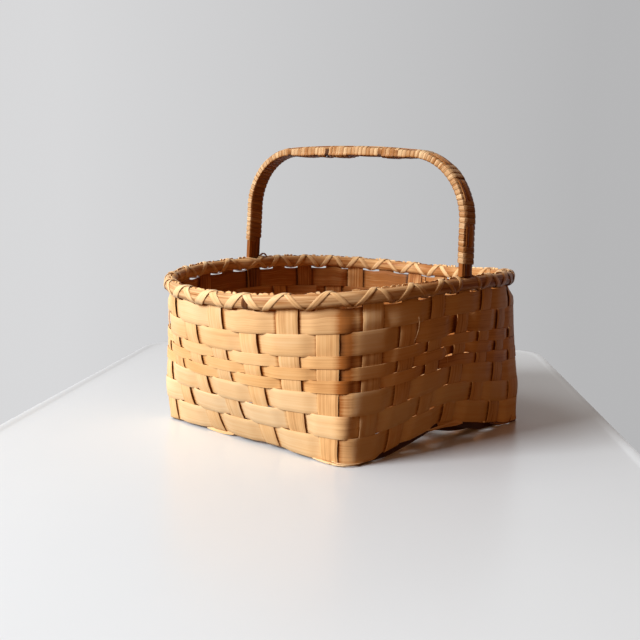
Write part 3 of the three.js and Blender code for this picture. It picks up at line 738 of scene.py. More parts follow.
# rim: both hoops are carved to one round section, with the wall's slot down its middle
hoopLook = {
    "step": 0.0042,
    "steps": 8,                # from the slot out to the tip of the round
    "tip": 0.9995,             # share of the half width where the hoop ends, just short of the tip
    "carving": 0.00012,        # unevenness left by the knife
    "mottle": 0.14,
    # strength of the painted light from the window's side
    "paintedLightSlope": 1.4,
    "wood": {"fibre": 1.5, "dullness": 0.42},
    "outer": {"side": 1, "lapStake": perFace + 1, "wood": {"age": 0.38, "warmth": -0.3, "contrast": 0.85}},
    "inner": {"side": -1, "lapStake": perFace + 4, "wood": {"age": 0.30, "warmth": 0.3, "contrast": 0.8}},
}
handleEase = weave["pitchAlongY"] + weave["handleRoom"] - halfStake - weave["levelRun"]


def legShift(s):                # the inner hoop bows in round each leg of the handle
    most = 0.0
    for stake in handleStakes:
        turns = round((s - stakeCentres[stake]) / fullRound)
        away = abs(s - stakeCentres[stake] - turns * fullRound)
        most = max(most, ease(away, handleEase, halfStake - handleEase))
    return rim["legRoom"] * most


def rimAxes(s):                 # middle offset, half width and half height of the whole rim
    width = rim["outerThickness"] + rim["innerThickness"] + 2 * rim["seat"] + legShift(s)
    return rim["seat"] + rim["outerThickness"] - width / 2, width / 2, rim["hoopHeight"] / 2


def rimPoint(s, offset, rise):
    face, t = atRound(s)
    point, out = rimFrame(face, t, rise)
    return point + out * offset


def hoopRing(s, side, start, end):      # start and end are shares of the way from the slot to the tip
    look, (centre, half, high) = hoopLook, rimAxes(s)
    first = side * rim["seat"] if side > 0 else -rim["seat"] - legShift(s)
    reach = centre + side * half * look["tip"] - first
    middle = rim["hoopRise"] + high
    lower, upper = [], []
    for k in range(look["steps"]):
        u = math.sin(math.pi / 2 * k / (look["steps"] - 1))
        x = first + reach * mix(start, end, u)
        h = high * (1 - abs((x - centre) / half) ** rim["squareness"]) ** (1 / rim["squareness"])
        ripple = look["carving"] * wander(s * 18, side * 3, u * 2)
        lower.append(rimPoint(s, x, middle - h + ripple))
        upper.append(rimPoint(s, x, middle + h + ripple))
    return lower + upper[::-1]


def hoopBar(side, thickness, lapStake):
    lapStart = stakeCentres[lapStake] - halfStake - weave["levelRun"]
    lap = stakeCentres[lapStake + 1] + halfStake + weave["levelRun"] - lapStart
    count = int((fullRound + lap) / hoopLook["step"])
    tip, gap = rim["scarfTip"] / thickness, rim["scarfGap"] / thickness
    rings, tints = [], []
    for k in range(count + 1):
        along = (fullRound + lap) * k / count
        end = mix(tip, 1.0, min(1.0, along / lap)) if along < lap else 1.0
        start = mix(tip + gap, 1 - tip, max(0.0, (along - fullRound) / lap)) if along > fullRound else 0.0
        rings.append(hoopRing(lapStart + along, side, start, end))
        tint = hoopLook["mottle"] * wander(along * 9, side * 9)
        tints.append(tint + hoopLook["paintedLightSlope"] * paintedSideLight(rings[-1][0]))
    return barFromRings(rings, lengthsAlong(ringMiddles(rings)), lengthsAlong(rings[len(rings) // 2]), tints)


for name in ("outer", "inner"):
    hoop = hoopLook[name]
    wood = woodMaterial(f"{name}_hoop_wood", **hoopLook["wood"], **hoop["wood"])
    bar = hoopBar(hoop["side"], rim[f"{name}Thickness"], hoop["lapStake"])
    makePiece(f"half_round_hoop_{name}", [bar], wood, [f"rim_hoop_{name}"])
print("hoops bent")

# broken splint on edge between the hoops, over the trimmed ends of the stakes
# each pair is the least and the most of what chance picks
packing = {
    "length": (0.0025, 0.0085),
    "lean": (-0.0004, 0.0016),     # how far a bit's top tips out over the outer hoop
    "shadowBitShare": 0.36,             # of the bits, which lie low and are painted dark as the shade in the gaps above the outer hoop
    "darkHeight": (0.0002, 0.0009),
    "paleHeight": (0.0010, 0.0022),
    # painted shadow
    "darkTint": (-0.85, -0.5),
    "paleTint": (-0.1, 0.35),
    "thickness": 0.0013,
    "spread": (0.75, 1.15),
    "torn": 0.0003,
    "depth": 0.0034,
    "step": 0.0012,
    "gap": 0.0010,
    "gapSpread": (0.3, 2.2),
    "taper": 0.8,
    "grainStep": 0.3,              # from one bit to the next
    "acrosses": [0, 0.004, 0.005, 0.009],      # where a bit's four corners lie on the grain
    "wood": {"age": 0.02, "warmth": 0.4},
}


def uprightRing(s, shift, half, low, top, lean=0.0, taper=1.0):     # four corners of a splint on edge
    return [rimPoint(s, shift + half, low), rimPoint(s, shift + half * taper + lean, top),
            rimPoint(s, shift - half * taper + lean, top), rimPoint(s, shift - half, low)]


def packingBars():
    look, bars, s = packing, [], 0.0
    while s < fullRound:
        length, lean = chance.uniform(*look["length"]), chance.uniform(*look["lean"])
        kind = "dark" if chance.random() < look["shadowBitShare"] else "pale"
        height = chance.uniform(*look[f"{kind}Height"])
        half = look["thickness"] / 2 * chance.uniform(*look["spread"])
        steps = max(4, int(length / look["step"]))
        rings = []
        for k in range(steps + 1):
            place = s + length * k / steps
            top = hoopTop + height * hump(k / steps, 0.35, 0.08) + chance.uniform(-look["torn"], look["torn"])
            rings.append(uprightRing(place, -legShift(place) / 2, half, hoopTop - look["depth"], top, lean,
                                     look["taper"]))
        tint = chance.uniform(*look[f"{kind}Tint"])
        alongs = [look["grainStep"] * len(bars) + length * k / steps for k in range(steps + 1)]
        bars.append(barFromRings(rings, alongs, look["acrosses"], [tint] * (steps + 1)))
        s += length + look["gap"] * chance.uniform(*look["gapSpread"])
    return bars


makePiece("rim_packing", packingBars(), woodMaterial("packing_splint", **packing["wood"]),
          ["rim_filler"], sharp=25)
print("rim packed")

# lashing: two strands wound round both hoops in opposite ways
lashLook = {
    "steps": 44,               # along each turn
    "thickness": 0.0008,
    "clear": 0.0002,
    "crossing": 0.00095,       # how far strand a stands off where it crosses strand b
    "loose": 0.00012,
    "apex": 0.5,               # share of the way to the next gap where a strand comes over the top
    "apexAtLeg": 0.18,
    "apexSpread": 0.05,
    "slip": 0.0016,
    "widthSpread": 0.14,
    "mottle": 0.08,
    # strength of the painted light from the window's side
    "paintedLightSlope": 1.4,
    "grainHalf": 0.0025,       # half the width that the grain is laid over
    # stakes between which both strands lie wide and flat, and how wide
    "wide": [(21.6, 25.4, 1.0), (2.6, 8.0, 0.8)],
    "wideRun": 1.5,
    "wood": {"contrast": 0.7, "dullness": 0.36},
    "a": {"direction": 1, "width": 0.0056, "wideWidth": 0.0092, "wood": {"age": 0.08, "warmth": -0.1}},
    "b": {"direction": -1, "width": 0.0048, "wideWidth": 0.0084, "wood": {"age": 0.13, "warmth": 0.0}},
}


def roundAt(halfWidth, halfHeight, squareness, angle):      # a point of a squarish round, and the way out
    c, s = math.cos(angle), math.sin(angle)
    x = halfWidth * math.copysign(abs(c) ** (2 / squareness), c)
    y = halfHeight * math.copysign(abs(s) ** (2 / squareness), s)
    nx = math.copysign(abs(c) ** (2 - 2 / squareness), c) / halfWidth
    ny = math.copysign(abs(s) ** (2 - 2 / squareness), s) / halfHeight
    size = math.hypot(nx, ny) or 1.0
    return x, y, nx / size, ny / size


def loopTable(halfWidth, halfHeight, squareness, count=240):    # share of the girth at each angle
    points = [roundAt(halfWidth, halfHeight, squareness, -math.pi / 2 + 2 * math.pi * k / count)[:2]
              for k in range(count + 1)]
    lengths = list(accumulate((math.dist(a, b) for a, b in zip(points, points[1:])), initial=0.0))
    return [length / lengths[-1] for length in lengths]


def angleAt(table, share):      # share of the way round a loop, from its lowest point
    i, part = stretchOf(table, share % 1.0)
    return -math.pi / 2 + 2 * math.pi * (i + part) / (len(table) - 1)


rimTable = loopTable((rim["outerThickness"] + rim["innerThickness"]) / 2 + rim["seat"], rim["hoopHeight"] / 2,
                     rim["squareness"])


def gapCentre(i):
    return (stakeCentres[i] + stakeCentres[i + 1]) / 2


def onRim(s, angle, lift):      # a point over the hoops' round, and the way out there
    centre, half, high = rimAxes(s)
    x, z, nx, nz = roundAt(half, high, rim["squareness"], angle)
    face, t = atRound(s)
    base, out = rimFrame(face, t, rim["hoopRise"] + high + z + nz * lift)
    return base + out * (centre + x + nx * lift), out * nx + Vector((0, 0, nz))


def lashPath(strand):           # place round the rim, share of a turn and width
    look, direction, path = lashLook, strand["direction"], []
    for n in range(stakeCount):
        gap = n if direction > 0 else stakeCount - 1 - n
        begin, pitch = gapCentre(gap), gapCentre(gap + 1) - gapCentre(gap)
        atLeg = (gap + 1) % stakeCount in handleStakes
        apex = look["apexAtLeg"]
        if not atLeg:
            apex = look["apex"] + look["apexSpread"] * wander(gap * 3.3, direction)
        slip = look["slip"] * wander(gap * 1.7, direction, 4)
        flat = max(most * ease(gap + 0.5, first, look["wideRun"]) * ease(gap + 0.5, last, -look["wideRun"])
                   for first, last, most in look["wide"])
        width = strand["width"] * (1 + look["widthSpread"] * wander(gap * 2.3, direction, 8))
        for k in range(look["steps"]):
            u = k / look["steps"]
            share = 0.5 * u / apex if u < apex else 0.5 + 0.5 * (u - apex) / (1 - apex)
            place = begin + pitch * (u if direction > 0 else 1 - u) + slip * hump(u, 2)
            path.append((place, share, mix(width, strand["wideWidth"], flat)))
    return path


def lashBar(strand):
    look, direction, points = lashLook, strand["direction"], []
    for place, share, width in lashPath(strand):
        lift = look["clear"] + look["thickness"] / 2
        if direction > 0:
            lift += look["crossing"] * max(0.0, math.cos(4 * math.pi * share)) ** 1.5
        lift += look["loose"] * wander(place * 60, direction, share)
        points.append((*onRim(place, angleAt(rimTable, share), lift), width))
    middles = [middle for middle, outward, width in points]
    tints = [look["mottle"] * wander(i * 0.05, direction * 5) + look["paintedLightSlope"] * paintedSideLight(middle)
             for i, middle in enumerate(middles)]
    rings = stripRings(points, look["thickness"], lashSection, closed=True)
    acrosses = acrossOf(lashSection, look["grainHalf"])
    return barFromRings(rings, lengthsAlong(middles), acrosses, tints, closed=True)


for name in ("a", "b"):
    strand = lashLook[name]
    wood = woodMaterial(f"lashing_{name}_splint", **lashLook["wood"], **strand["wood"])
    makePiece(f"lashing_strand_{name}", [lashBar(strand)], wood, [f"rim_lashing_{name}"])
print("rim lashed")

# handle: a bow over the middle stakes, with its feet tucked down inside the wall
bow = {
    "halfSpan": 0.160,
    "topHeight": 0.3029,
    "shoulder": 0.0685,        # how far along X each shoulder reaches
    "shoulderRise": 0.065,
    "crown": 0.0023,
    "slope": -0.043,
    "sway": 0.005,             # how far the top leans back over its feet
    "twist": -0.003,           # and how much further it does so towards the right
    "footGap": 0.0008,
    "width": 0.0170,
    "widthAtLeft": 0.0176,
    "leftFrom": (0.70, 0.16),  # start and run of each change, in shares of the bow's length
    "thickness": 0.0058,
    "topThickness": 0.0072,
    "topFrom": (0.30, 0.12),
    "topTo": (0.72, -0.10),
    "notch": 0.003,
    "hook": 0.001,
    "tailThickness": 0.0024,
    "tailWidth": 0.013,
    "tailTipWidth": 0.008,
    "tailTipShare": 0.6,       # of the tail's thickness
    "notchEdges": (-0.0006, -0.0003, 0.0003, 0.0007),  # two below the inner hoop and two above it
    "squareness": 8.0,
    "legSteps": 24,
    "shoulderSteps": 40,
    "ringPoints": 16,
    "grainRing": 40,           # the ring on which the grain's places across are measured
    "wrapStart": (0.012, 0.022),   # from the rim, at the right and left legs
    "wood": {"age": 0.72, "warmth": 0.6, "fibre": 1.6, "dullness": 0.35},
}
handleY = wallMiddle(0, acrossFace(0, weave["middleStakeY"]), 1).y


def halfBow(side):
    top = bow["topHeight"] - bow["thickness"] / 2
    shoulder = top - bow["crown"] - bow["shoulderRise"]
    straight = bow["halfSpan"] - bow["shoulder"]
    foot = rimHeight(side * rim["halfX"], handleY) + hoopTop + bow["footGap"]
    legSteps, turnSteps = bow["legSteps"], bow["shoulderSteps"]
    line = [(bow["halfSpan"], mix(foot, shoulder, k / legSteps), 0.0) for k in range(legSteps)]
    for k in range(turnSteps):
        turn = math.pi / 2 * k / turnSteps
        out, up = bow["shoulder"] * math.cos(turn), bow["shoulderRise"] * math.sin(turn)
        angle = math.atan2(up * bow["shoulder"] ** 2, out * bow["shoulderRise"] ** 2)
        line.append((straight + out, shoulder + up, angle))
    for k in range(legSteps + 1):
        x = straight * (1 - k / legSteps)
        line.append((x, top - bow["crown"] + bow["crown"] * (1 - (x / straight) ** 2), math.pi / 2))
    half = []
    for x, height, angle in line:
        lean = clamp((height - foot) / (shoulder - foot))
        back = clamp((height - foot) / (top - foot))
        sway = bow["sway"] + bow["twist"] * side * x / bow["halfSpan"]
        middle = Vector((side * x, handleY + sway * back, height + bow["slope"] * side * x * lean))
        half.append((middle, Vector((side * math.cos(angle), 0, math.sin(angle)))))
    return half


bowLine = halfBow(1) + halfBow(-1)[::-1][1:]
bowPlaces = lengthsAlong([middle for middle, outward in bowLine])
bowLength = bowPlaces[-1]
wrapFrom, wrapTo = bow["wrapStart"][0], bowLength - bow["wrapStart"][1]


def atBow(distance):            # middle, outward and forward directions at a distance along the bow
    i, share = stretchOf(bowPlaces, distance)
    (here, outHere), (there, outThere) = bowLine[i], bowLine[i + 1]
    outward = outHere.lerp(outThere, share).normalized()
    return here.lerp(there, share), outward, Vector((-outward.z, 0, outward.x))


def widthAt(distance):
    return mix(bow["width"], bow["widthAtLeft"], ease(distance / bowLength, *bow["leftFrom"]))


def thicknessAt(distance):
    share = distance / bowLength
    thicker = ease(share, *bow["topFrom"]) * ease(share, *bow["topTo"])
    return mix(bow["thickness"], bow["topThickness"], thicker)


def inWrap(distance):
    return wrapFrom < distance < wrapTo


def bowRing(middle, outward, width, thickness):
    ring, count = [], bow["ringPoints"]
    for k in range(count):
        angle = math.pi / 2 - 2 * math.pi * (k + 0.5) / count
        x, y, nx, ny = roundAt(width / 2, thickness / 2, bow["squareness"], angle)
        ring.append(middle + Vector((0, x, 0)) + outward * y)
    return ring[-count // 4:] + ring[:-count // 4]


def legRings(face):             # from the tail's tip up past the notch for the inner hoop
    t = acrossFace(face, weave["middleStakeY"])
    row, tail, notch, width = weaverLook["tailRow"], bow["tailThickness"], bow["notch"], bow["width"]
    hooked = notch + bow["hook"]
    sections = [(wallFrame(face, t, rowMiddles[row - 1]), bow["tailTipWidth"], tail * bow["tailTipShare"])]
    for v in (rowSpans[row][0], rowSpans[row + 1][0], *rowSpans[row + 2]):
        sections.append((wallFrame(face, t, v), bow["tailWidth"], tail))
    sections.append((wallFrame(face, t, 1), width, hooked))
    bases = [rim["hoopRise"], rim["hoopRise"], hoopTop, hoopTop]
    for base, edge, thickness in zip(bases, bow["notchEdges"], (hooked, notch, notch, bow["thickness"])):
        sections.append((rimFrame(face, t, base + edge), width, thickness))
    rings = []
    for (point, out), width, thickness in sections:
        middle = point - out * (rim["seat"] + thickness / 2)
        middle.y = handleY
        rings.append(bowRing(middle, Vector((out.x, 0, out.z)).normalized(), width, thickness))
    return rings


def bowBar():
    rings = legRings(0)
    for distance, (middle, outward) in zip(bowPlaces, bowLine):
        rings.append(bowRing(middle, outward, widthAt(distance), thicknessAt(distance)))
    rings += legRings(2)[::-1]
    alongs = lengthsAlong([ring[0] for ring in rings])
    return barFromRings(rings, alongs, lengthsAlong(rings[bow["grainRing"]]), [0.0] * len(rings))


makePiece("bent_bow", [bowBar()], woodMaterial("bow_wood", **bow["wood"]), ["handle_bow"])

# strips along the outer face of the bow: the wrap passes over them for a few turns, then under
wrapLook = {
    "pitch": 0.00575,
    "fill": 0.955,             # share of the way to the next turn that a turn covers
    "thickness": 0.0009,
    "clear": 0.0002,
    "squareness": 8.0,
    "steps": 32,
    "halves": (0.0094, 0.0038),    # half width and depth of the turn that the steps are spaced on
    "advance": 0.07,           # how much more of the way forward is made on the inner face
    "loose": 0.00008,
    "overFrom": (-0.2, 0.9),   # where a turn rises over the strips, in shares of the bow's half thickness
    "edgeDip": 0.75,           # and how much of that it loses towards the edges
    "edgeFrom": (0.0058, 0.0026),
    "stripThickness": 0.0009,
    "stripStep": 0.0016,
    "stripMargin": 0.0004,
    "stripWaver": 0.0003,
    "stripMottle": 0.12,
    "legTint": -0.35,          # of the strips below the wrap
    "bandLengths": [0.0170, 0.0210, 0.0220, 0.0225, 0.0215, 0.0225],   # wrapped, bare, wrapped, ...
    "dive": 0.0014,            # how soon the wrap gets from over the strips to under them
    "strips": [{"place": -0.0046, "width": 0.0044, "tint": -0.05},
               {"place": 0.0020, "width": 0.0078, "tint": 0.0}],
    "slackEnds": [-0.081, -0.045, -0.027, 0.007, 0.050, 0.077, 0.091],    # along X, under the top of the bow
    "slacks": [0.0018, 0.0024, 0.0028, 0.0007, 0.0020, 0.0010],
    "gaps": [-0.092, -0.027, 0.050, 0.077],     # where shade between the turns is painted dark
    "gapFrom": (0.0033, -0.0022),
    "gapShade": 1.1,
    "gapSide": 0.6,
    "shade": -0.26,            # painted shade of the inner face, which turns away from the lamps
    "shadeSide": 1.2,
    "pale": 0.09,              # painted light: how much paler the wrap of the left leg is, where the window's light falls
    "paleFrom": (0.72, 0.1),
    "mottle": (0.05, 0.12),    # on the legs and over the top
    "mottleFrom": (0.34, -0.08),
    "pieces": ["right", "top", "left"],
    "wood": {"age": 0.34, "warmth": -0.9, "contrast": 0.7, "dullness": 0.46},
    "stripWood": {"age": 0.40, "warmth": 0.1, "fibre": 1.3, "dullness": 0.4},
}


def bareShare(distance):        # 1 where the strips lie over the wrap, and 0 where it covers them
    rest, bare = min(distance - wrapFrom, wrapTo - distance), False
    if rest < 0:
        return 1.0
    for length in cycle(wrapLook["bandLengths"]):
        if rest <= length:
            return 0.5 + (0.5 if bare else -0.5) * smooth(min(rest, length - rest) / wrapLook["dive"])
        rest -= length
        bare = not bare


def slackAt(distance):          # how far the wrap hangs below the bow, and how much painted shade its gaps get there
    place = bowLength / 2 - distance
    ends, sag = wrapLook["slackEnds"], 0.0
    for begin, end, most in zip(ends, ends[1:], wrapLook["slacks"]):
        if begin < place < end:
            sag = most * hump((place - begin) / (end - begin), 0.7)
    nearest = min(abs(place - gap) for gap in wrapLook["gaps"])
    return sag, ease(nearest, *wrapLook["gapFrom"])


def stripBar(strip):
    look, seed = wrapLook, strip["place"]
    rings, alongs, tints = [], [], []
    count = int(bowLength / look["stripStep"])
    for k in range(count + 1):
        distance = mix(look["stripMargin"], bowLength - look["stripMargin"], k / count)
        middle, outward, forward = atBow(distance)
        lift = thicknessAt(distance) / 2 + look["stripThickness"] / 2 + look["clear"]
        if inWrap(distance):
            lift += (look["thickness"] + look["clear"]) * bareShare(distance)
        shift = look["stripWaver"] * wander(distance * 30, seed * 900)
        point = middle + outward * lift + Vector((0, strip["place"] + shift, 0))
        rings.append(stripRing(point, outward, forward, strip["width"], look["stripThickness"], lashSection))
        alongs.append(distance + seed * 50)
        wearAndShade = strip["tint"] if inWrap(distance) else look["legTint"]
        tints.append(wearAndShade + look["stripMottle"] * wander(distance * 20, seed * 700))
    return barFromRings(rings, alongs, acrossOf(lashSection, strip["width"] / 2), tints)


makePiece("bow_strips", [stripBar(strip) for strip in wrapLook["strips"]],
          woodMaterial("bow_strip_splint", **wrapLook["stripWood"]), ["handle_overlay"])

wrapTable = loopTable(*wrapLook["halves"], wrapLook["squareness"])


def wrapBar(begin, end):
    look, steps = wrapLook, wrapLook["steps"]
    turns = round((end - begin) / look["pitch"])
    pitch = (end - begin) / turns
    skin = look["clear"] + look["thickness"] / 2
    middles, outwards, tints = [], [], []
    for k in range(turns * steps + 1):
        turn, share = divmod(k / steps, 1.0)
        distance = begin + pitch * (turn + clamp(share + look["advance"] * math.sin(2 * math.pi * share)))
        middle, outward, forward = atBow(distance)
        angle = angleAt(wrapTable, share)
        depth = thicknessAt(distance) / 2
        x, y, nx, ny = roundAt(widthAt(distance) / 2 + skin, depth + skin, look["squareness"], angle)
        over = (look["stripThickness"] + look["clear"]) * (1 - bareShare(distance))
        raised = ease(y / depth, *look["overFrom"]) * (1 - look["edgeDip"] * ease(abs(x), *look["edgeFrom"]))
        sag, gap = slackAt(distance)
        under = smooth(-ny * look["shadeSide"])
        loose = look["loose"] * wander(turn * 2.7, 1.0) + look["loose"] * wander(distance * 90, angle)
        loose += sag * under
        middles.append(middle + Vector((0, x + nx * loose, 0)) + outward * (y + ny * loose + over * raised))
        outwards.append(Vector((0, nx, 0)) + outward * ny)
        along = distance / bowLength
        mottle = mix(*look["mottle"], ease(abs(along - 0.5), *look["mottleFrom"]))
        # painted light on the left leg, and painted shade on the inner face and in the gaps between turns
        tint = look["pale"] * ease(along, *look["paleFrom"]) + mottle * wander(turn * 3.1 + 0.5, begin * 40)
        tints.append(tint + look["shade"] * under - look["gapShade"] * gap * smooth(look["gapSide"] - ny))
    path = []
    for i, middle in enumerate(middles):
        neighbour = middles[i + steps if i + steps < len(middles) else i - steps]
        width = look["fill"] * (neighbour - middle).cross(directionAt(middles, i)).length
        path.append((middle, outwards[i], width))
    rings = stripRings(path, look["thickness"], wrapSection)
    return barFromRings(rings, lengthsAlong(middles), acrossOf(wrapSection, pitch / 2), tints)


wrapWood = woodMaterial("wrap_splint", **wrapLook["wood"])
for n, part in enumerate(wrapLook["pieces"]):
    begin, end = mix(wrapFrom, wrapTo, n / 3), mix(wrapFrom, wrapTo, (n + 1) / 3)
    makePiece(f"wrap_{part}", [wrapBar(begin, end)], wrapWood, [f"handle_wrap_{part}"])
print("handle bent and wrapped, wrap", round(bowLength * 1000), "mm long")

# painted shadow: a dark strip where the outer hoop's end leaves a shaded gap beside the lashing
hoopEndShadow = {
    "place": 0.0460,           # from the middle of the front wall
    "width": 0.0076,
    "angles": (-62, 60),       # from the bottom of the round to its top
    "slant": 0.0012,
    "taper": 0.3,
    "lift": 0.00025,
    "thickness": 0.0006,
    "steps": 12,
    "grainHalf": 0.002,
    "wood": {"age": 0.95, "contrast": 0.5},
}


def endShadowBar():
    look, steps, path = hoopEndShadow, hoopEndShadow["steps"], []
    for k in range(steps + 1):
        angle = math.radians(mix(*look["angles"], k / steps))
        s = faceStarts[3] + look["place"] + look["slant"] * math.sin(angle)
        width = look["width"] * (1 - look["taper"] * abs(2 * k / steps - 1) ** 3)
        path.append((*onRim(s, angle, look["lift"]), width))
    rings = stripRings(path, look["thickness"], lashSection)
    acrosses = acrossOf(lashSection, look["grainHalf"])
    return barFromRings(rings, evenly(0.001, steps + 1), acrosses, [0.0] * (steps + 1))


makePiece("hoop_end_painted_shadow", [endShadowBar()], woodMaterial("hoop_end_shadow_splint", **hoopEndShadow["wood"]))

# splint ends that hang below the walls' bottom edge, and dark strips under it that are painted shadow: the
# contact shadow and the shade under the arch
tuckAndShadowLook = {
    "steps": 16,
    "overlap": 0.0015,
    "lean": 0.0008,
    "lowest": 0.0004,
    "grainHalf": 0.002,
    "wood": {"age": 0.05, "contrast": 0.6},
    "tucksAndShadows": [
        # a tint of -0.8 or less makes a dark strip of painted shadow; the others are pale splint ends
        {"face": 0, "from": -0.128, "to": -0.008, "drop": 0.0048, "inset": 0.0014, "tint": -1.3},
        {"face": 0, "from": -0.030, "to": 0.036, "drop": 0.0055, "inset": 0.0020, "tint": -0.1},
        {"face": 0, "from": -0.022, "to": 0.075, "drop": 0.0120, "inset": 0.0130, "tint": -1.3},
        {"face": 0, "from": 0.004, "to": 0.140, "drop": 0.0080, "inset": 0.0045, "tint": -1.3},
        {"face": 0, "from": 0.085, "to": 0.143, "drop": 0.0030, "inset": 0.0002, "tint": -0.8},
        {"face": 3, "from": -0.064, "to": -0.020, "drop": 0.0026, "inset": 0.0004, "tint": 0.0},
        {"face": 3, "from": 0.100, "to": 0.136, "drop": 0.0026, "inset": 0.0004, "tint": 0.0},
    ],
}


def tuckAndShadowBar(hanger):
    look, face, rings, steps = tuckAndShadowLook, hanger["face"], [], tuckAndShadowLook["steps"]
    for k in range(steps + 1):
        t = mix(hanger["from"], hanger["to"], k / steps)
        edge = wallMiddle(face, t, 0)
        point, out = wallFrame(face, t, bendShare)
        flat = Vector((out.x, out.y, 0)).normalized()
        hang = hanger["drop"] * hump(k / steps, 0.6, 0.04)
        bottom, top = max(look["lowest"], edge.z - hang), edge.z + look["overlap"]

        def frameAt(share):
            point = Vector((edge.x, edge.y, mix(bottom, top, (share + 1) / 2)))
            return point - flat * (hanger["inset"] + look["lean"] * (1 + share)), flat

        rings.append(splintRing(frameAt, 0.0))
    return splintBar(rings, look["grainHalf"], [hanger["tint"]] * len(rings))


makePiece("base_tucks_and_painted_shadow", [tuckAndShadowBar(hanger) for hanger in tuckAndShadowLook["tucksAndShadows"]],
          woodMaterial("tuck_and_shadow_splint", **tuckAndShadowLook["wood"]))

# a bit of packing that has sprung up beside the left leg
arch = {
    "from": 0.0095,            # before the leg's stake
    "to": 0.0245,
    "rise": 0.0052,
    "half": 0.0012,
    "low": -0.0015,            # its under and upper sides, from the hoops' top
    "high": 0.0,
    "steps": 14,
    "acrosses": [0, 0.001, 0.003, 0.004],
    "wood": {"age": 0.5, "contrast": 0.6},
}


def archBar():
    look, rings, steps = arch, [], arch["steps"]
    for k in range(steps + 1):
        place = stakeCentres[handleStakes[1]] - mix(look["from"], look["to"], k / steps)
        height = hoopTop + look["rise"] * hump(k / steps, 0.8)
        rings.append(uprightRing(place, -legShift(place) / 2, look["half"], height + look["low"],
                                 height + look["high"]))
    return barFromRings(rings, evenly(0.0011, steps + 1), look["acrosses"], [0.0] * (steps + 1))


makePiece("packing_arch", [archBar()], woodMaterial("packing_arch_splint", **arch["wood"]))

# torn fibres and loops of splint that stand off the walls
# each runs from its first point to its last and bends towards the middle one
# a point is a distance round the wall, a height above the table and a distance off the wall
nearCorner = -halfLength(0)
farCorner = fullRound / 2 + nearCorner
fibreLook = {"steps": 16, "sides": 6, "taper": 0.5, "offTable": 0.0002,
             "wood": {"age": -0.1, "contrast": 0.4}}
fibres = [
    {"size": 0.00034, "tint": 0.2,
     "points": [(-0.0720, 0.143, 0.0022), (-0.0700, 0.133, 0.0048), (-0.0745, 0.119, 0.0020)]},
    {"size": 0.00034, "tint": 0.2,
     "points": [(-0.0270, 0.111, 0.0020), (-0.0225, 0.103, 0.0050), (-0.0180, 0.094, 0.0022)]},
    {"size": 0.0008, "tint": 0.3,
     "points": [(-0.0310, 0.0175, 0.001), (-0.004, 0.0170, 0.0040), (0.0200, 0.0200, 0.001)]},
    {"size": 0.0006, "tint": -0.5,
     "points": [(0.0920, 0.0045, 0.0), (0.1220, -0.0030, 0.0050), (0.1250, 0.0100, 0.0010)]},
    {"size": 0.0007, "tint": 0.2,
     "points": [(nearCorner - 0.040, 0.0022, 0.0), (nearCorner, 0.0006, 0.0045),
                (nearCorner + 0.026, 0.0030, 0.0)]},
    {"size": 0.0006, "tint": 0.0,
     "points": [(nearCorner - 0.014, 0.0040, 0.0), (nearCorner + 0.008, 0.0020, 0.0060),
                (nearCorner + 0.036, 0.0040, 0.0)]},
    {"size": 0.0009, "tint": 0.1,
     "points": [(farCorner - 0.004, 0.0040, 0.0), (farCorner + 0.004, 0.0060, 0.0030),
                (farCorner + 0.001, 0.0050, 0.0065)]},
]


def fibreBar(fibre):
    look, ends, steps = fibreLook, [], fibreLook["steps"]
    for k in range(steps + 1):
        place, height, off = [curved(*three, k / steps) for three in zip(*fibre["points"])]
        face, t = atRound(place)
        foot = wallMiddle(face, t, 0)
        middle, out = wallFrame(face, t, max(0.0, height - foot.z) / wallHeight)
        end = middle + out * off
        end.z = max(fibre["size"] + look["offTable"], end.z if height > foot.z else height)
        ends.append(end)
    rings = []
    for k, end in enumerate(ends):
        along = directionAt(ends, k)
        across = along.cross(Vector((1, 0, 0))).normalized()
        side = along.cross(across)
        size = fibre["size"] * (1 - look["taper"] * k / steps)
        rings.append([end + across * size * math.cos(angle) + side * size * math.sin(angle)
                      for angle in evenly(2 * math.pi / look["sides"], look["sides"])])
    tints = [fibre["tint"]] * (steps + 1)
    return barFromRings(rings, evenly(0.001, steps + 1), evenly(0.0002, look["sides"]), tints)


makePiece("torn_fibres", [fibreBar(fibre) for fibre in fibres],
          woodMaterial("fibre_wood", **fibreLook["wood"]))
print("loose ends added")

# tabletop with a raised lip, standing in front of a plain wall
tableLook = {
    "turn": 40.0,              # degrees from X of the table's long side
    "left": -0.365,
    "right": 0.305,
    "front": -1.25,
    "back": 0.56,
    "corner": 0.070,
    "cornerSteps": 12,
    # inset and height of each ring, from the middle of the top over the lip and down the edge
    "profile": [(0.016, 0.0), (0.012, 0.0004), (0.008, 0.0016), (0.003, 0.00128), (0.0006, -0.0016),
                (0.0, -0.006), (0.0, -0.022), (0.02, -0.022)],
    "colour": (0.745, 0.775, 0.775),
    "dusty": 0.975,
    "roughness": 0.28,
}


def tableMaterial():
    material, tree, shader = newMaterial("table_paint")
    place = addNode(tree, "ShaderNodeTexCoord").outputs["Object"]
    dustAndShade = addNode(tree, "ShaderNodeTexNoise", {"Vector": place, "Scale": 9.0, "Detail": 5.0}).outputs["Fac"]
    dusty = [tone * tableLook["dusty"] for tone in tableLook["colour"]]
    tree.links.new(blend(tree, dustAndShade, dusty, tableLook["colour"]), shader.inputs["Base Color"])
    shader.inputs["Roughness"].default_value = tableLook["roughness"]
    return material


def tableOutline():
    look, outline, radius = tableLook, [], tableLook["corner"]
    corners = [(look["right"], look["front"], -90), (look["right"], look["back"], 0),
               (look["left"], look["back"], 90), (look["left"], look["front"], 180)]
    for x, y, start in corners:
        middleX, middleY = x - math.copysign(radius, x), y - math.copysign(radius, y)
        for k in range(look["cornerSteps"] + 1):
            angle = math.radians(start + 90 * k / look["cornerSteps"])
            outline.append((middleX + radius * math.cos(angle), middleY + radius * math.sin(angle)))
    return outline


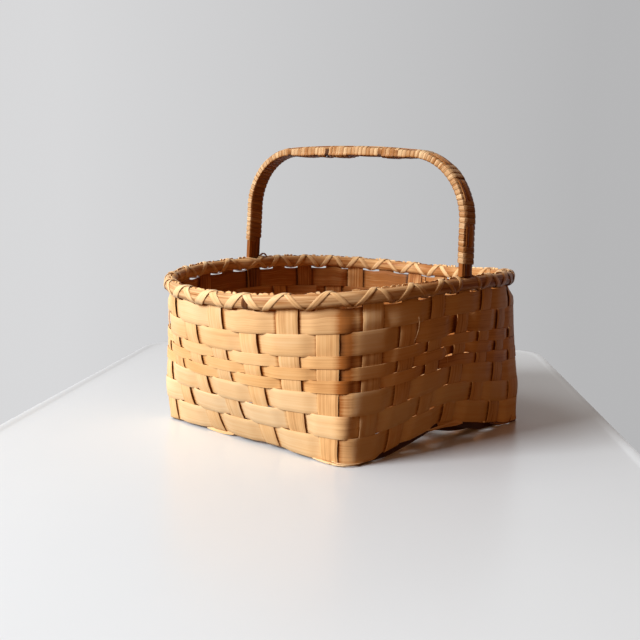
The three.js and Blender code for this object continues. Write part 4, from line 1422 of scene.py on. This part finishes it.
def buildTable():
    turn = math.radians(tableLook["turn"])
    right, away = Vector((math.cos(turn), math.sin(turn), 0)), Vector((-math.sin(turn), math.cos(turn), 0))
    outline, points, faces = tableOutline(), [], []
    count = len(outline)
    for inset, height in tableLook["profile"]:
        for i, (x, y) in enumerate(outline):
            (ax, ay), (bx, by) = outline[i - 1], outline[(i + 1) % count]
            point = Vector((x, y, 0)) - Vector((by - ay, ax - bx, 0)).normalized() * inset
            points.append(right * point.x + away * point.y + Vector((0, 0, height)))
    for ring in range(len(tableLook["profile"]) - 1):
        for i in range(count):
            here, there = ring * count + i, ring * count + (i + 1) % count
            faces.append((here, here + count, there + count, there))
    faces.append(tuple(range(count)))
    faces.append(tuple(len(points) - 1 - k for k in range(count)))
    mesh = bpy.data.meshes.new("table")
    mesh.from_pydata([tuple(point) for point in points], [], faces)
    mesh.shade_smooth()
    mesh.set_sharp_from_angle(angle=math.radians(40))
    mesh.materials.append(tableMaterial())
    table = bpy.data.objects.new("table", mesh)
    bpy.context.scene.collection.objects.link(table)
    table.visible_diffuse = False    # the light that it throws back is part of the room's tones


lightTarget = (0, 0, 0.1)
lights = {
    "window": {"place": (-0.72, -2.75, 1.50), "size": 1.3, "power": 140, "colour": (0.98, 1.0, 1.05)},
    "sky": {"place": (-1.1, -1.2, 2.6), "size": 1.6, "power": 22, "colour": (0.98, 1.0, 1.05)},
}


def softLight(name, look):
    lamp = bpy.data.lights.new(name, "AREA")
    lamp.shape, lamp.size, lamp.size_y = "RECTANGLE", look["size"], look["size"]
    lamp.energy, lamp.color = look["power"], look["colour"]
    light = bpy.data.objects.new(name, lamp)
    light.location = look["place"]
    light.rotation_euler = (Vector(lightTarget) - Vector(look["place"])).to_track_quat("-Z", "Y").to_euler()
    bpy.context.scene.collection.objects.link(light)


# the wall grows darker from left to right, as seen from the camera's side
# the unseen room is dark, brighter towards one side and warm low down in front
room = {
    "wallSide": (0.71, 0.70, 0.0),
    "wallSpan": (-0.27, 0.27),
    "wallTones": (0.69, 0.47),
    "wallBlue": 1.012,
    "mirrorSide": (-0.70, 0.71, 0.0),      # only reflections that look this way show the wall
    "mirrorSpan": (0.1, 0.5),
    "dark": (0.105, 0.036, 0.010),
    "bright": (0.40, 0.365, 0.32),
    "brightSide": (-0.70, -0.50, 0.35),
    "brightSpan": (0.05, 0.75),
    "low": (0.350, 0.163, 0.057),
    "lowSide": (0.35, -0.83, -0.42),
    "lowSpan": (0.4, 0.95),
    "floorSpan": (-0.85, -0.25),           # below it the room is black
}


def facing(tree, way, side, span, tones=(0.0, 1.0), **settings):    # how far a ray looks to one side
    dot = addNode(tree, "ShaderNodeVectorMath", {0: way, 1: side}, operation="DOT_PRODUCT")
    return addNode(tree, "ShaderNodeMapRange", {"Value": dot.outputs["Value"], "From Min": span[0],
                                                "From Max": span[1], "To Min": tones[0],
                                                "To Max": tones[1]}, **settings).outputs[0]


def buildRoom():
    world = bpy.data.worlds.new("room")
    bpy.context.scene.world = world
    world.use_nodes = True
    tree = world.node_tree
    tree.nodes.clear()
    way = addNode(tree, "ShaderNodeTexCoord").outputs["Generated"]
    grey = facing(tree, way, room["wallSide"], room["wallSpan"], room["wallTones"])
    blue = doMath(tree, "MULTIPLY", grey, room["wallBlue"])
    wall = addNode(tree, "ShaderNodeCombineColor", {"Red": grey, "Green": grey, "Blue": blue}).outputs[0]
    tone = room["dark"]
    for name in ("bright", "low"):
        share = facing(tree, way, room[f"{name}Side"], room[f"{name}Span"], interpolation_type="SMOOTHSTEP")
        tone = blend(tree, share, tone, room[name])
    tone = blend(tree, facing(tree, way, (0, 0, 1), room["floorSpan"]), (0, 0, 0), tone)
    # the camera sees the wall, and so do glossy surfaces
    path = addNode(tree, "ShaderNodeLightPath").outputs
    mirrored = doMath(tree, "MULTIPLY", path["Is Glossy Ray"],
                      facing(tree, way, room["mirrorSide"], room["mirrorSpan"]))
    seen = doMath(tree, "MAXIMUM", path["Is Camera Ray"], mirrored)
    shades = [addNode(tree, "ShaderNodeBackground", {"Color": colour}).outputs[0] for colour in (tone, wall)]
    both = addNode(tree, "ShaderNodeMixShader", {0: seen, 1: shades[0], 2: shades[1]}).outputs[0]
    addNode(tree, "ShaderNodeOutputWorld", {"Surface": both})


buildTable()
buildRoom()
for name, look in lights.items():
    softLight(name, look)

# camera where the photograph was taken from
cameraLook = {
    "place": (0.6890, -0.7315, 0.2371),
    "heading": 44.65,          # degrees from +Y towards -X
    "down": 7.03,
    "roll": 0.69,
    "lens": 50.9,
    "sensor": 36.0,
}
heading, down, roll = [math.radians(cameraLook[key]) for key in ("heading", "down", "roll")]
forward = Vector((-math.sin(heading) * math.cos(down), math.cos(heading) * math.cos(down), -math.sin(down)))
level = forward.cross(Vector((0, 0, 1))).normalized()
upright = level.cross(forward)
rightward = level * math.cos(roll) + upright * math.sin(roll)
upward = upright * math.cos(roll) - level * math.sin(roll)
camera = bpy.data.objects.new("camera", bpy.data.cameras.new("camera"))
camera.data.lens = cameraLook["lens"]
camera.data.sensor_width = cameraLook["sensor"]
turned = Matrix((rightward, upward, -forward)).transposed().to_4x4()
camera.matrix_world = Matrix.Translation(cameraLook["place"]) @ turned
bpy.context.scene.collection.objects.link(camera)
bpy.context.scene.camera = camera
bpy.context.scene.view_settings.view_transform = "Standard"
print("table, room, lights and camera set")
